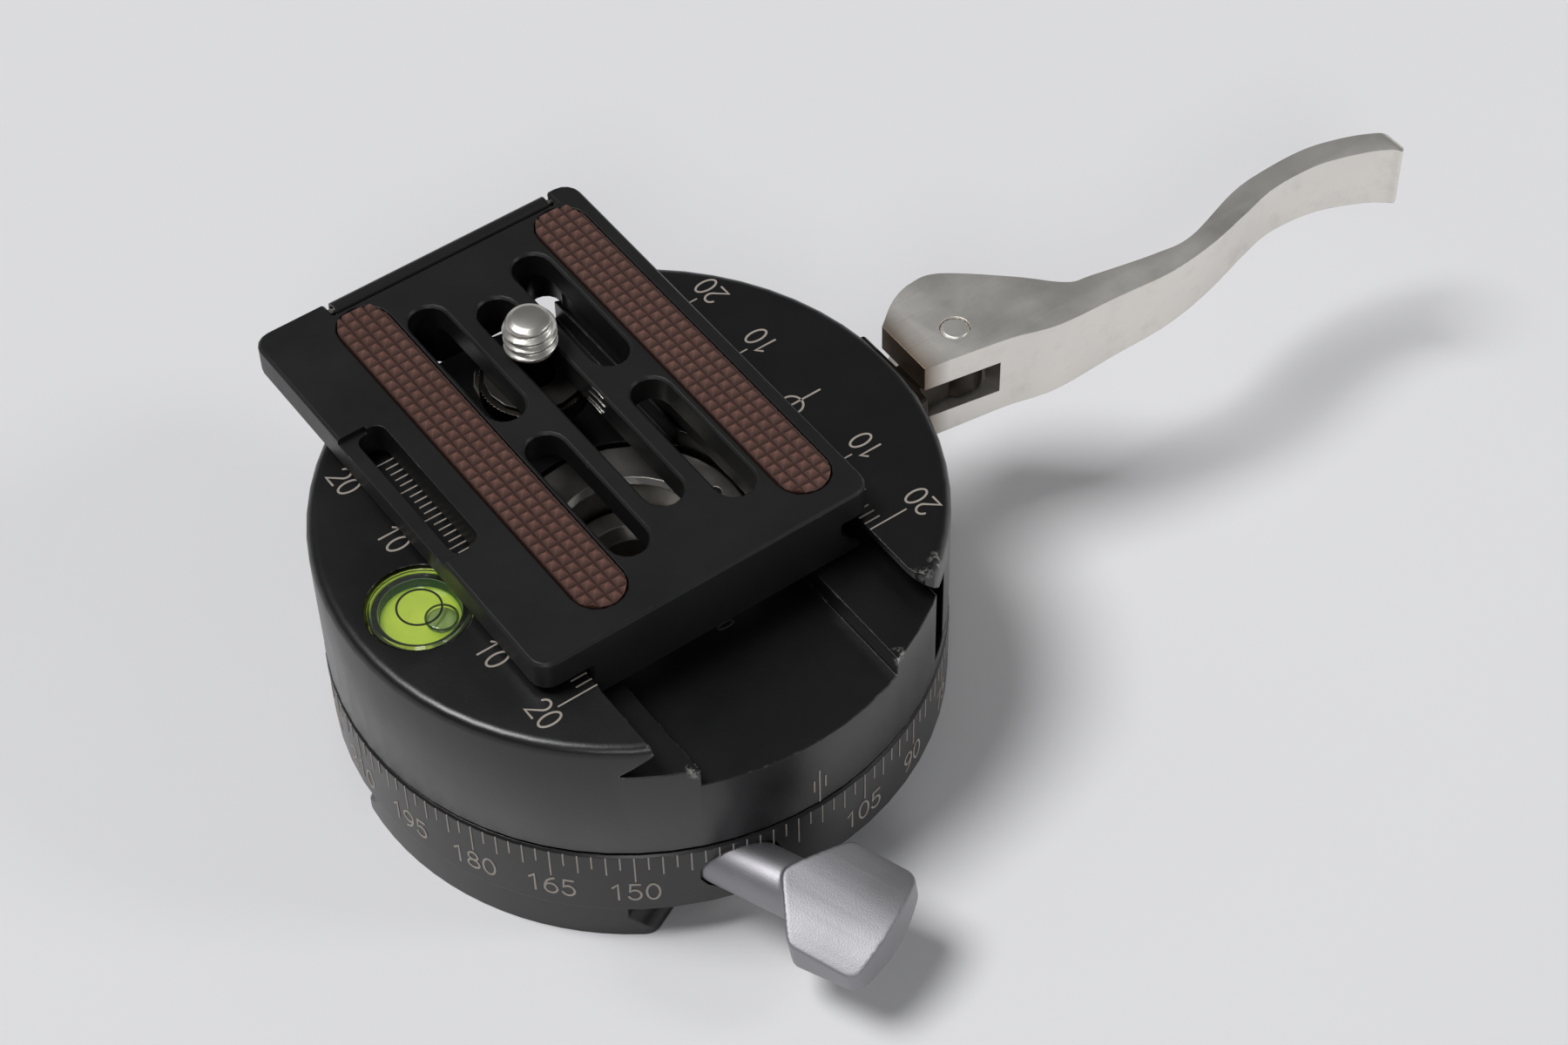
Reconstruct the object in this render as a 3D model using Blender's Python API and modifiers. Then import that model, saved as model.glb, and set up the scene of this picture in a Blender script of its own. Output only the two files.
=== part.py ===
"""Panning clamp: a turntable with a cam-lever dovetail clamp, holding a quick-release plate.

Metres, +Z up. The origin is the centre of the foot's underside, on the pan axis. +X runs across
the jaws towards the lever, and +Y along the channel towards the plate's far end.
"""

import math

import bmesh
import bpy
from mathutils import Matrix, Vector

# Fits shared by all pieces
GAP = 0.0003
OVERRUN = 0.003
MERGE = 0.000005
EDGE_BREAK = 0.0003

# Roundness of turned and bored shapes
LARGE_SIDES = 64
MIDDLE_SIDES = 32
SMALL_SIDES = 16
TINY_SIDES = 12
CORNER_STEPS = 4
SHARP_ANGLE = math.radians(28)
BEVEL_ANGLE = math.radians(38)

# Base: disc, dovetail foot rail and its cavity
BASE_RADIUS = 0.0356
BASE_BOTTOM = 0.00537
BASE_HEIGHT = 0.0101
BASE_TOP = BASE_BOTTOM + BASE_HEIGHT
FOOT_WIDTH = 0.038
FOOT_FLARE = 0.0025
FOOT_LAND = 0.0009
FOOT_INSET = 0.0005
FOOT_CORNER = 0.002
FOOT_AZIMUTH = math.radians(25.2)
CAVITY_FLOOR = 0.0075

# Pan bearing: the post, its flange and screws, the washers and the ring nut. Radii follow the base
HUB_SHARE = 0.5506
SPINDLE_FOOT_SHARE = 0.2107
SPINDLE_FLANGE_SHARE = 0.3652
SPINDLE_SHARE = 0.2303
NUT_SHARE = 0.3933
HUB_RADIUS = BASE_RADIUS * HUB_SHARE
HUB_WALL = 0.0046
CAVITY_RADIUS = HUB_RADIUS + GAP
SPINDLE_FOOT_RADIUS = BASE_RADIUS * SPINDLE_FOOT_SHARE
SPINDLE_FLANGE_RADIUS = BASE_RADIUS * SPINDLE_FLANGE_SHARE
SPINDLE_FLANGE = 0.0015
SPINDLE_RADIUS = BASE_RADIUS * SPINDLE_SHARE
SPINDLE_TOP = 0.0223
THREAD_BORE_RADIUS = 0.0044
THREAD_CHAMFER = 0.0012
SPINDLE_FLANGE_BOTTOM = CAVITY_FLOOR + GAP
SPINDLE_FLANGE_TOP = SPINDLE_FLANGE_BOTTOM + SPINDLE_FLANGE
SPINDLE_SCREW_COUNT = 3
SPINDLE_SCREW_RADIUS = 0.0012
SPINDLE_SCREW_HEAD_RADIUS = 0.0019
SPINDLE_SCREW_HEAD = 0.0012
SPINDLE_SCREW_LENGTH = 0.0045
SPINDLE_SCREW_CIRCLE = (SPINDLE_RADIUS + SPINDLE_FLANGE_RADIUS) / 2 + GAP / 2
HUB_BOTTOM = SPINDLE_FLANGE_TOP + GAP
WEB_BOTTOM = 0.0125
COUNTERBORE_FLOOR = 0.018
NUT_RADIUS = BASE_RADIUS * NUT_SHARE
COUNTERBORE_RADIUS = NUT_RADIUS + GAP
PAN_BORE_RADIUS = SPINDLE_RADIUS + GAP
FRICTION_WASHER = 0.0005
FRICTION_DISH = 0.0004
NUT_CHAMFER = 0.0006
NUT_KEY_RADIUS = 0.0009
NUT_KEY_DEPTH = 0.002
THRUST_WALL = 0.0022
THRUST_WIDTH = 0.008
THRUST_INNER = HUB_RADIUS + THRUST_WALL
THRUST_OUTER = THRUST_INNER + THRUST_WIDTH
THRUST_WASHER = 0.0004
THRUST_FLOOR = BASE_TOP - THRUST_WASHER - GAP

# Pan lock: brake piece, stud and wing knob on an axis that passes beside the hub
LOCK_AZIMUTH = math.radians(-67)
LOCK_HEIGHT = 0.0108
COTTER_RADIUS = 0.0031
COTTER_LENGTH = 0.010
COTTER_BITE = 0.0009
LOCK_OFFSET = CAVITY_RADIUS + COTTER_RADIUS - COTTER_BITE
LOCK_BORE_RADIUS = COTTER_RADIUS + GAP
LOCK_TRAVEL_ROOM = 0.0004
STUD_RADIUS = 0.00305
STUD_TANG_RADIUS = 0.0017
STUD_TANG_LENGTH = 0.006
STEM_RADIUS = 0.0034
STEM_INSET = 0.004
STEM_POCKET_ROOM = 0.001
LOCK_EXIT = math.sqrt(BASE_RADIUS**2 - LOCK_OFFSET**2)
STEM_INNER_END = LOCK_EXIT - STEM_INSET
KNOB_STEM = 0.0052
KNOB_SHOULDER = 0.0044
KNOB_SIDE = 0.0077
KNOB_CROWN = 0.001
KNOB_WIDTH = 0.014
KNOB_THICKNESS = 0.0066
KNOB_EDGE = 0.0011
KNOB_CORNER = 0.0012
KNOB_DISH = 0.0005
KNOB_ROLL = math.radians(11)
KNOB_NECK = LOCK_EXIT + KNOB_STEM

# Turntable: the clamp body with its fixed jaw and channel. Places across X follow its radius
BODY_STEP = 0.0001
FIXED_LIP_SHARE = 0.4961
LEFT_REST_SHARE = 0.3775
RIGHT_REST_SHARE = 0.3352
BLOCK_SHARE = 0.5845
BODY_RADIUS = BASE_RADIUS - BODY_STEP
BODY_BOTTOM = BASE_TOP + GAP
BODY_TOP = 0.03404
BODY_ROUNDING = 0.0013
FLANGE_TOP = 0.0179
FLOOR_Z = 0.0269
REST_Z = 0.0296
FIXED_LIP_X = -BODY_RADIUS * FIXED_LIP_SHARE
LIP_LAND = 0.00094
LEFT_REST_X = -BODY_RADIUS * LEFT_REST_SHARE
RIGHT_REST_X = BODY_RADIUS * RIGHT_REST_SHARE
BLOCK_X = BODY_RADIUS * BLOCK_SHARE
NUT_TOP = FLOOR_Z - GAP

# Quick-release plate. Its dovetail fits the jaws, and what is on it follows its width and length
PLATE_NECK_SHARE = 0.924
PLATE_NECK_WIDTH = BODY_RADIUS * PLATE_NECK_SHARE
PLATE_LEFT_SLACK = 0.00052
PLATE_BOTTOM = REST_Z + GAP
PLATE_HEIGHT = 0.0091
PLATE_TOP = PLATE_BOTTOM + PLATE_HEIGHT
PLATE_WING = 0.004
PLATE_FLARE = 0.0025
PLATE_FOOT_LAND = 0.0008
PLATE_LEFT_WING = 0.00631
PLATE_RIGHT_WING = 0.00404
PLATE_NEAR_Y = -0.0185
PLATE_LENGTH = 0.05935
PLATE_CORNER = 0.0022
PLATE_NECK_LEFT = FIXED_LIP_X + PLATE_LEFT_SLACK
PLATE_NECK_RIGHT = PLATE_NECK_LEFT + PLATE_NECK_WIDTH
PLATE_LEFT = PLATE_NECK_LEFT - PLATE_LEFT_WING
PLATE_RIGHT = PLATE_NECK_RIGHT + PLATE_RIGHT_WING
PLATE_WIDTH = PLATE_RIGHT - PLATE_LEFT
PLATE_FAR_Y = PLATE_NEAR_Y + PLATE_LENGTH
PLATE_NECK_Z = PLATE_BOTTOM + PLATE_FOOT_LAND + PLATE_FLARE
HOLLOW_WALL_LEFT = 0.0019
HOLLOW_WALL_RIGHT = 0.00335
HOLLOW_WALL_NEAR = 0.002
HOLLOW_CORNER = 0.002
PLATE_DECK = 0.0035
HOLLOW_TOP = PLATE_TOP - PLATE_DECK
SLOT_WIDTH = 0.0047
SLOT_PITCH_SHARE = 0.1622
SLOT_CENTRE_SHARE = 0.5701
SLOT_MIDDLE_NEAR_SHARE = 0.1837
SLOT_MIDDLE_LENGTH_SHARE = 0.6352
SLOT_SIDE_NEAR_SHARE = 0.123
SLOT_SIDE_LENGTH_SHARE = 0.3471
SLOT_SIDE_STEP_SHARE = 0.4078
SLOT_PITCH = PLATE_WIDTH * SLOT_PITCH_SHARE
SLOT_CENTRE_X = PLATE_LEFT + PLATE_WIDTH * SLOT_CENTRE_SHARE
SLOT_MIDDLE_NEAR = PLATE_LENGTH * SLOT_MIDDLE_NEAR_SHARE
SLOT_MIDDLE_LENGTH = PLATE_LENGTH * SLOT_MIDDLE_LENGTH_SHARE
SLOT_SIDE_NEAR = PLATE_LENGTH * SLOT_SIDE_NEAR_SHARE
SLOT_SIDE_LENGTH = PLATE_LENGTH * SLOT_SIDE_LENGTH_SHARE
SLOT_SIDE_STEP = PLATE_LENGTH * SLOT_SIDE_STEP_SHARE
PAD_WIDTH_SHARE = 0.1437
PAD_LENGTH_SHARE = 0.8981
PAD_NEAR_SHARE = 0.0522
PAD_LEFT_SHARE = 0.2642
PAD_RIGHT_SHARE = 0.1159
PAD_WIDTH = PLATE_WIDTH * PAD_WIDTH_SHARE
PAD_LENGTH = PLATE_LENGTH * PAD_LENGTH_SHARE
PAD_NEAR = PLATE_LENGTH * PAD_NEAR_SHARE
PAD_LEFT_X = PLATE_WIDTH * PAD_LEFT_SHARE
PAD_RIGHT_X = PLATE_WIDTH * PAD_RIGHT_SHARE
PAD_POCKET = 0.001
PAD_THICKNESS = 0.00135
PAD_MARGIN = 0.00025
STRAP_BAR = 0.00175
STRAP_SLOT_WIDTH = 0.00335
STRAP_SLOT_NEAR_SHARE = 0.3201
STRAP_SLOT_LENGTH_SHARE = 0.3521
STRAP_SLOT_NEAR = PLATE_LENGTH * STRAP_SLOT_NEAR_SHARE
STRAP_SLOT_LENGTH = PLATE_LENGTH * STRAP_SLOT_LENGTH_SHARE
STRAP_CORNER = 0.0013
STRAP_BAR_DROP = 0.0008
STRAP_BAR_MARGIN = 0.0005

# Anti-twist stop along the plate's far end
STOP_THICKNESS = 0.00206
STOP_RECESS_DEPTH = 0.0022
STOP_RECESS_LEFT = 0.0095
STOP_RECESS_RIGHT = 0.00335
STOP_SIDE_GAP = 0.0007
STOP_PIN_RADIUS = 0.00045
STOP_PIN_HOLE = 0.0007
STOP_PIN_HALF = 0.0022
RECESS_Y = PLATE_FAR_Y - STOP_RECESS_DEPTH
RECESS_LEFT_X = PLATE_LEFT + STOP_RECESS_LEFT
RECESS_RIGHT_X = PLATE_RIGHT - STOP_RECESS_RIGHT
STOP_HINGE_Y = RECESS_Y + GAP + STOP_THICKNESS / 2
STOP_HINGE_Z = PLATE_TOP - STOP_THICKNESS / 2
HOLLOW_WALL_FAR = 0.00595
HOLLOW_FAR_Y = RECESS_Y - HOLLOW_WALL_FAR

# Moving jaw, its guides, springs and wear plate
JAW_TRAVEL = 0.0022
JAW_OPENING = PLATE_NECK_WIDTH + PLATE_LEFT_SLACK + JAW_TRAVEL + GAP
JAW_TIP_X = FIXED_LIP_X + JAW_OPENING
JAW_WALL_X = BLOCK_X + JAW_TRAVEL + GAP
JAW_BOTTOM = FLANGE_TOP + GAP
JAW_CORNER = 0.002
JAW_FLAT_DEPTH = 0.0006
JAW_FLAT_X = BODY_RADIUS - JAW_FLAT_DEPTH
UNDERCUT_TOP = BODY_TOP - LIP_LAND
UNDERCUT_BOTTOM = REST_Z + GAP
UNDERCUT = UNDERCUT_TOP - UNDERCUT_BOTTOM
WEAR_THICKNESS = 0.00235
WEAR_NEAR = 0.0055
WEAR_FAR = 0.007
WEAR_TOP = 0.0301
WEAR_BOTTOM = 0.0203
WEAR_INNER_X = JAW_FLAT_X + GAP
WEAR_FACE_X = WEAR_INNER_X + WEAR_THICKNESS
GUIDE_Z = 0.024
GUIDE_Y = 0.015
GUIDE_RADIUS = 0.002
GUIDE_HOLD = 0.0072
GUIDE_REACH = 0.0072
SPRING_Y = 0.008
SPRING_RADIUS = 0.002
SPRING_WIRE = 0.0003
SPRING_TURNS = 5
SPRING_POINTS = 8
SPRING_POCKET = 0.0042
SPRING_JAW_POCKET = 0.006

# Cam lever, its pin and the drawbar
CAM_REACH = 0.00785
PIVOT_X = WEAR_FACE_X + CAM_REACH
LEVER_TOP = 0.032
LEVER_HUB_HEIGHT = 0.012
LEVER_REACH = 0.0623
LEVER_SHOULDER = 0.0088
LEVER_EDGE = 0.0007
LEVER_STEPS = 2
PIN_RADIUS = 0.00175
PIN_HOLE_RADIUS = 0.00205
DRAWBAR_Z = 0.026
DRAWBAR_HEIGHT = 0.0042
DRAWBAR_WIDTH = 0.0044
DRAWBAR_NECK = 0.0095
EYE_RADIUS = 0.0033
EYE_ROOM = 0.0004
SHANK_RADIUS = 0.0025
SHANK_HOLD = 0.00475
SHANK_HOLE_RADIUS = SHANK_RADIUS + GAP
SHANK_CLEAR_RADIUS = 0.0033
FORK_SLOT_HEIGHT = DRAWBAR_HEIGHT + 2 * GAP
FORK_WALL_X = 0.003
FORK_WALL_Y = 0.001
FORK_OPEN_ANGLE = math.radians(60)
FORK_REACH = 0.0122
# Across from the pivot, as shares of LEVER_REACH along and of LEVER_SHOULDER across
LEVER_BACK_SHARES = (
    (-0.106, 0.59), (-0.051, 0.875), (0.003, 1.0), (0.063, 0.92), (0.169, 0.284),
    (0.239, -0.216), (0.289, -0.318), (0.42, -0.511), (0.504, -0.545), (0.639, -0.25),
    (0.722, -0.17), (0.831, -0.182), (0.921, -0.352), (0.984, -0.58), (1.0, -0.75),
    (0.992, -0.966),
)
LEVER_FRONT_SHARES = (
    (-0.108, -0.352), (0.0, -0.489), (0.072, -0.591), (0.161, -0.773), (0.295, -0.841),
    (0.417, -0.909), (0.526, -0.83), (0.624, -0.67), (0.716, -0.523), (0.823, -0.534),
    (0.912, -0.716), (0.96, -0.886), (0.979, -1.034),
)
# The height left under the top, as shares of LEVER_REACH along and of LEVER_HUB_HEIGHT
LEVER_DEPTH_SHARES = (
    (-0.13, 1.0), (-0.006, 0.975), (0.138, 0.925), (0.315, 0.817), (0.475, 0.708),
    (0.652, 0.608), (0.828, 0.667), (0.973, 0.733), (1.03, 0.742),
)

# Bubble level in the fixed jaw, between the rim and the lip
LEVEL_RIM = 0.0028
LEVEL_LAND = 0.00369
LEVEL_RADIUS = (BODY_RADIUS + FIXED_LIP_X - LEVEL_RIM - LEVEL_LAND) / 2
LEVEL_X = LEVEL_RIM + LEVEL_RADIUS - BODY_RADIUS
LEVEL_Y = 0.0001
LEVEL_POCKET_RADIUS = LEVEL_RADIUS + GAP
LEVEL_DEPTH = 0.0039
LEVEL_WALL = 0.0009
LEVEL_FLOOR = 0.0008
LEVEL_LENS = 0.00094
LEVEL_POCKET_FLOOR = BODY_TOP - LEVEL_DEPTH
LEVEL_LENS_BOTTOM = BODY_TOP - LEVEL_LENS

# Captive camera screw with its folding ring
SCREW_SHARE = 0.6588
SCREW_Y = PLATE_NEAR_Y + PLATE_LENGTH * SCREW_SHARE
SCREW_X = SLOT_CENTRE_X
SCREW_RADIUS = 0.003125
SCREW_REACH = 0.0052
SCREW_CHAMFER = 0.0006
SCREW_NECK_RADIUS = 0.0022
SCREW_WASHER_RADIUS = 0.0058
SCREW_WASHER = 0.0003
SCREW_HEAD_RADIUS = 0.0064
SCREW_HEAD = 0.0024
KNURL_DEPTH = 0.00025
KNURL_COUNT = 30
# How far round each tooth its land and its flank end, as shares of the tooth
KNURL_LAND_SHARE = 0.4
KNURL_FLANK_SHARE = 0.7
SCREW_WASHER_TOP = HOLLOW_TOP - GAP
SCREW_WASHER_BOTTOM = SCREW_WASHER_TOP - SCREW_WASHER
SCREW_HEAD_TOP = SCREW_WASHER_BOTTOM - GAP
SCREW_HEAD_BOTTOM = SCREW_HEAD_TOP - SCREW_HEAD
SCREW_LUG_LENGTH = 0.0036
SCREW_LUG_WIDTH = 0.0036
RING_WIRE = 0.00075
RING_HALF_WIDTH = 0.0046
RING_REACH = 0.0089
RING_CORNER = 0.0014
RING_CORNER_STEPS = 3
RING_Z = SCREW_HEAD_BOTTOM - RING_WIRE - GAP
SCREW_LUG_BOTTOM = RING_Z - RING_WIRE - 2 * GAP

parts = None
cutters = None


def clear_scene():
    for obj in list(bpy.data.objects):
        bpy.data.objects.remove(obj, do_unlink=True)


def add_collection(name):
    collection = bpy.data.collections.new(name)
    bpy.context.scene.collection.children.link(collection)
    return collection


def add_axis(name, location=(0, 0, 0), rotation=(0, 0, 0)):
    """An empty on a joint's axis, which carries the pieces of one moving body."""
    empty = bpy.data.objects.new(name, None)
    empty.location = location
    empty.rotation_euler = rotation
    empty.empty_display_size = BASE_RADIUS / 4
    parts.objects.link(empty)
    return empty


def add_material(name, colour, roughness, metallic, alpha=1.0):
    material = bpy.data.materials.new(name)
    material.use_nodes = True
    shader = material.node_tree.nodes["Principled BSDF"]
    shader.inputs["Base Color"].default_value = (*colour, 1.0)
    shader.inputs["Roughness"].default_value = roughness
    shader.inputs["Metallic"].default_value = metallic
    shader.inputs["Alpha"].default_value = alpha
    return material


def add_piece(name, mesh, axis, material=None):
    """A part of the clamp, or a cutter where it has no material."""
    obj = bpy.data.objects.new(name, mesh)
    obj.parent = axis
    if material:
        obj.data.materials.append(material)
        parts.objects.link(obj)
    else:
        obj.hide_render = True
        obj.display_type = "WIRE"
        cutters.objects.link(obj)
    return obj


def bake(obj):
    """Puts the modifiers' result into the mesh, shaded smooth between its sharp edges."""
    bpy.context.view_layer.update()
    graph = bpy.context.evaluated_depsgraph_get()
    mesh = bpy.data.meshes.new_from_object(obj.evaluated_get(graph), depsgraph=graph)
    obj.modifiers.clear()
    obj.data = mesh
    mesh.shade_smooth()
    mesh.set_sharp_from_angle(angle=SHARP_ANGLE)
    return obj


def combine(target, tool, operation):
    modifier = target.modifiers.new(tool.name, "BOOLEAN")
    modifier.operation = operation
    modifier.object = tool
    modifier.solver = "EXACT"


def cut(target, *tools):
    for tool in tools:
        combine(target, tool, "DIFFERENCE")


def join(target, *tools):
    for tool in tools:
        combine(target, tool, "UNION")


def bevel(obj, width, segments=1):
    modifier = obj.modifiers.new("edge", "BEVEL")
    modifier.width = width
    modifier.segments = segments
    modifier.limit_method = "ANGLE"
    modifier.angle_limit = BEVEL_ANGLE
    modifier.use_clamp_overlap = True


def turned_mesh(profile, sides):
    """A profile of (radius, height) points turned about Z, running down its outer side.

    One that starts on the axis is left open there, and any other closes into a ring."""
    mesh = bpy.data.meshes.new("turned")
    count = len(profile)
    edges = [(i, i + 1) for i in range(count - 1)]
    if profile[0][0] > 0:
        edges.append((count - 1, 0))
    mesh.from_pydata([(radius, 0, height) for radius, height in profile], edges, [])
    return mesh


def turned(name, profile, sides, axis, material=None):
    obj = add_piece(name, turned_mesh(profile, sides), axis, material)
    screw = obj.modifiers.new("turn", "SCREW")
    screw.axis = "Z"
    screw.angle = 2 * math.pi
    screw.steps = sides
    screw.render_steps = sides
    screw.use_merge_vertices = True
    screw.merge_threshold = MERGE
    return bake(obj)


def curve_mesh(curve):
    """The curve's surface as one closed mesh, with its caps welded on."""
    holder = bpy.data.objects.new(curve.name, curve)
    cutters.objects.link(holder)
    bpy.context.view_layer.update()
    graph = bpy.context.evaluated_depsgraph_get()
    mesh = bpy.data.meshes.new_from_object(holder.evaluated_get(graph), depsgraph=graph)
    bpy.data.objects.remove(holder, do_unlink=True)
    shape = bmesh.new()
    shape.from_mesh(mesh)
    bmesh.ops.remove_doubles(shape, verts=shape.verts, dist=MERGE)
    bmesh.ops.recalc_face_normals(shape, faces=shape.faces)
    shape.to_mesh(mesh)
    shape.free()
    return mesh


def extruded_mesh(outline, low, high, chamfer=0):
    """A flat outline in XY, filled and given its thickness from low to high along Z.

    A chamfer widens it by that much halfway up, at 45 degrees."""
    curve = bpy.data.curves.new("outline", "CURVE")
    curve.dimensions = "2D"
    curve.fill_mode = "BOTH"
    curve.extrude = (high - low) / 2 - chamfer
    curve.bevel_depth = chamfer
    curve.bevel_resolution = 0
    spline = curve.splines.new("POLY")
    spline.points.add(len(outline) - 1)
    for point, (x, y) in zip(spline.points, outline):
        point.co = (x, y, 0, 1)
    spline.use_cyclic_u = True
    mesh = curve_mesh(curve)
    mesh.transform(Matrix.Translation((0, 0, (low + high) / 2)))
    return mesh


def extruded(name, outline, low, high, axis, material=None):
    return add_piece(name, extruded_mesh(outline, low, high), axis, material)


def rim(name, outline, top, axis):
    """Breaks the top edge of a hole with this outline."""
    mesh = extruded_mesh(outline, top - EDGE_BREAK, top + EDGE_BREAK, EDGE_BREAK)
    return add_piece(name, mesh, axis)


def extruded_along_y(name, outline, low, high, axis, material=None):
    """An (x, z) outline carried along Y from low to high."""
    mesh = extruded_mesh(outline, -high, -low)
    mesh.transform(Matrix.Rotation(math.pi / 2, 4, "X"))
    return add_piece(name, mesh, axis, material)


def extruded_along_x(name, outline, low, high, axis, material=None):
    """A (y, z) outline carried along X from low to high."""
    mesh = extruded_mesh(outline, low, high)
    mesh.transform(Matrix(((0, 0, 1, 0), (1, 0, 0, 0), (0, 1, 0, 0), (0, 0, 0, 1))))
    return add_piece(name, mesh, axis, material)


def block(name, low, high, axis, material=None):
    low, high = Vector(low), Vector(high)
    shape = bmesh.new()
    bmesh.ops.create_cube(shape, size=1)
    bmesh.ops.scale(shape, vec=high - low, verts=shape.verts)
    bmesh.ops.translate(shape, vec=(low + high) / 2, verts=shape.verts)
    mesh = bpy.data.meshes.new(name)
    shape.to_mesh(mesh)
    shape.free()
    return add_piece(name, mesh, axis, material)


def rod(name, radius, start, end, sides, axis, material=None):
    """A round bar between two points."""
    start, end = Vector(start), Vector(end)
    along = end - start
    shape = bmesh.new()
    bmesh.ops.create_cone(
        shape, cap_ends=True, segments=sides, radius1=radius, radius2=radius, depth=along.length
    )
    turn = Vector((0, 0, 1)).rotation_difference(along).to_matrix().to_4x4()
    mesh = bpy.data.meshes.new(name)
    shape.to_mesh(mesh)
    shape.free()
    mesh.transform(Matrix.Translation((start + end) / 2) @ turn)
    mesh.shade_smooth()
    mesh.set_sharp_from_angle(angle=SHARP_ANGLE)
    return add_piece(name, mesh, axis, material)


def tube_mesh(points, radius, cyclic, resolution):
    curve = bpy.data.curves.new("wire", "CURVE")
    curve.dimensions = "3D"
    curve.bevel_depth = radius
    curve.bevel_resolution = resolution
    curve.use_fill_caps = not cyclic
    spline = curve.splines.new("POLY")
    spline.points.add(len(points) - 1)
    for point, place in zip(spline.points, points):
        point.co = (*place, 1)
    spline.use_cyclic_u = cyclic
    return curve_mesh(curve)


def rounded(corners, radius, steps=CORNER_STEPS):
    """The polygon with each corner turned into an arc of the radius."""
    points = []
    count = len(corners)
    for i in range(count):
        before, corner, after = (Vector(corners[(i + k) % count]) for k in (-1, 0, 1))
        towards_before = (before - corner).normalized()
        towards_after = (after - corner).normalized()
        half = towards_before.angle(towards_after) / 2
        middle = corner + (towards_before + towards_after).normalized() * radius / math.sin(half)
        start = corner + towards_before * radius / math.tan(half) - middle
        turn = towards_before.angle_signed(towards_after)
        sweep = math.copysign(math.pi, turn) - turn
        for step in range(steps + 1):
            angle = sweep * step / steps
            arm = start.copy()
            arm.rotate(Matrix.Rotation(angle, 2))
            points.append(tuple(middle + arm))
    return points


def rectangle(left, right, near, far):
    return [(left, near), (right, near), (right, far), (left, far)]


def obround(middle_x, near, far, width):
    """A slot's outline along Y with half-round ends."""
    radius = width / 2
    points = []
    for centre_y, first in ((far - radius, 0), (near + radius, math.pi)):
        for step in range(2 * CORNER_STEPS + 1):
            angle = first + math.pi * step / (2 * CORNER_STEPS)
            points.append((middle_x + radius * math.cos(angle), centre_y + radius * math.sin(angle)))
    return points


def smooth_through(points, steps=LEVER_STEPS):
    """Points on a smooth curve through the given ones (Catmull-Rom)."""
    places = [Vector(p) for p in points]
    padded = [2 * places[0] - places[1], *places, 2 * places[-1] - places[-2]]
    result = []
    for i in range(1, len(padded) - 2):
        a, b, c, d = padded[i - 1 : i + 3]
        for step in range(steps):
            t = step / steps
            result.append(
                (2 * b + (c - a) * t + (2 * a - 5 * b + 4 * c - d) * t**2
                 + (3 * b - a - 3 * c + d) * t**3) / 2
            )
    result.append(places[-1])
    return [tuple(p) for p in result]


def arc(centre, radius, first, last, steps):
    return [
        (centre[0] + radius * math.cos(first + (last - first) * i / steps),
         centre[1] + radius * math.sin(first + (last - first) * i / steps))
        for i in range(steps + 1)
    ]


def barrel_outline(radius, half_width, corner):
    """A strip along Y whose ends follow a circle, with rounded corners."""
    offset = half_width - corner
    reach = math.sqrt((radius - corner) ** 2 - offset**2)
    meet = math.atan2(reach, offset)
    end = arc((offset, reach), corner, 0, meet, CORNER_STEPS)
    end += arc((0, 0), radius, meet, math.pi - meet, SMALL_SIDES)[1:-1]
    end += arc((-offset, reach), corner, math.pi - meet, math.pi, CORNER_STEPS)
    return end + [(-x, -y) for x, y in end]


def build_base(axis, finish):
    """The turned disc with its cavity and washer groove, and the dovetail foot under it."""
    disc = turned(
        "base_disc",
        [
            (0, CAVITY_FLOOR),
            (CAVITY_RADIUS, CAVITY_FLOOR),
            (CAVITY_RADIUS, BASE_TOP),
            (THRUST_INNER - GAP, BASE_TOP),
            (THRUST_INNER - GAP, THRUST_FLOOR),
            (THRUST_OUTER + GAP, THRUST_FLOOR),
            (THRUST_OUTER + GAP, BASE_TOP),
            (BASE_RADIUS - EDGE_BREAK, BASE_TOP),
            (BASE_RADIUS, BASE_TOP - EDGE_BREAK),
            (BASE_RADIUS, BASE_BOTTOM + EDGE_BREAK),
            (BASE_RADIUS - EDGE_BREAK, BASE_BOTTOM),
            (0, BASE_BOTTOM),
        ],
        LARGE_SIDES, axis, finish["anodised"],
    )
    half = FOOT_WIDTH / 2
    neck = half - FOOT_FLARE
    foot_top = (BASE_BOTTOM + CAVITY_FLOOR) / 2
    foot = extruded_along_y(
        "foot_tool",
        [
            (-half - FOOT_FLARE, -FOOT_FLARE), (half + FOOT_FLARE, -FOOT_FLARE),
            (half + FOOT_FLARE, FOOT_LAND - FOOT_FLARE),
            (neck, FOOT_LAND + FOOT_FLARE), (neck, foot_top),
            (-neck, foot_top), (-neck, FOOT_LAND + FOOT_FLARE),
            (-half - FOOT_FLARE, FOOT_LAND - FOOT_FLARE),
        ],
        -BASE_RADIUS, BASE_RADIUS, axis,
    )
    plan = extruded(
        "foot_plan_tool", barrel_outline(BASE_RADIUS - FOOT_INSET, half, FOOT_CORNER),
        0, foot_top + OVERRUN, axis,
    )
    combine(foot, plan, "INTERSECT")
    bevel(foot, EDGE_BREAK)
    bake(foot)
    foot.rotation_euler.z = FOOT_AZIMUTH - math.pi / 2
    join(disc, foot)
    bore = rod(
        "spindle_bore_tool", SPINDLE_FOOT_RADIUS + GAP, (0, 0, -OVERRUN),
        (0, 0, CAVITY_FLOOR + OVERRUN), MIDDLE_SIDES, axis,
    )
    cut(disc, bore)
    for place, number in spindle_screw_places():
        hole = rod(
            f"spindle_screw_hole_{number}", SPINDLE_SCREW_RADIUS + GAP,
            (*place, CAVITY_FLOOR - SPINDLE_SCREW_LENGTH), (*place, CAVITY_FLOOR + OVERRUN),
            TINY_SIDES, axis,
        )
        cut(disc, hole)
    return bake(disc)


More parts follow.
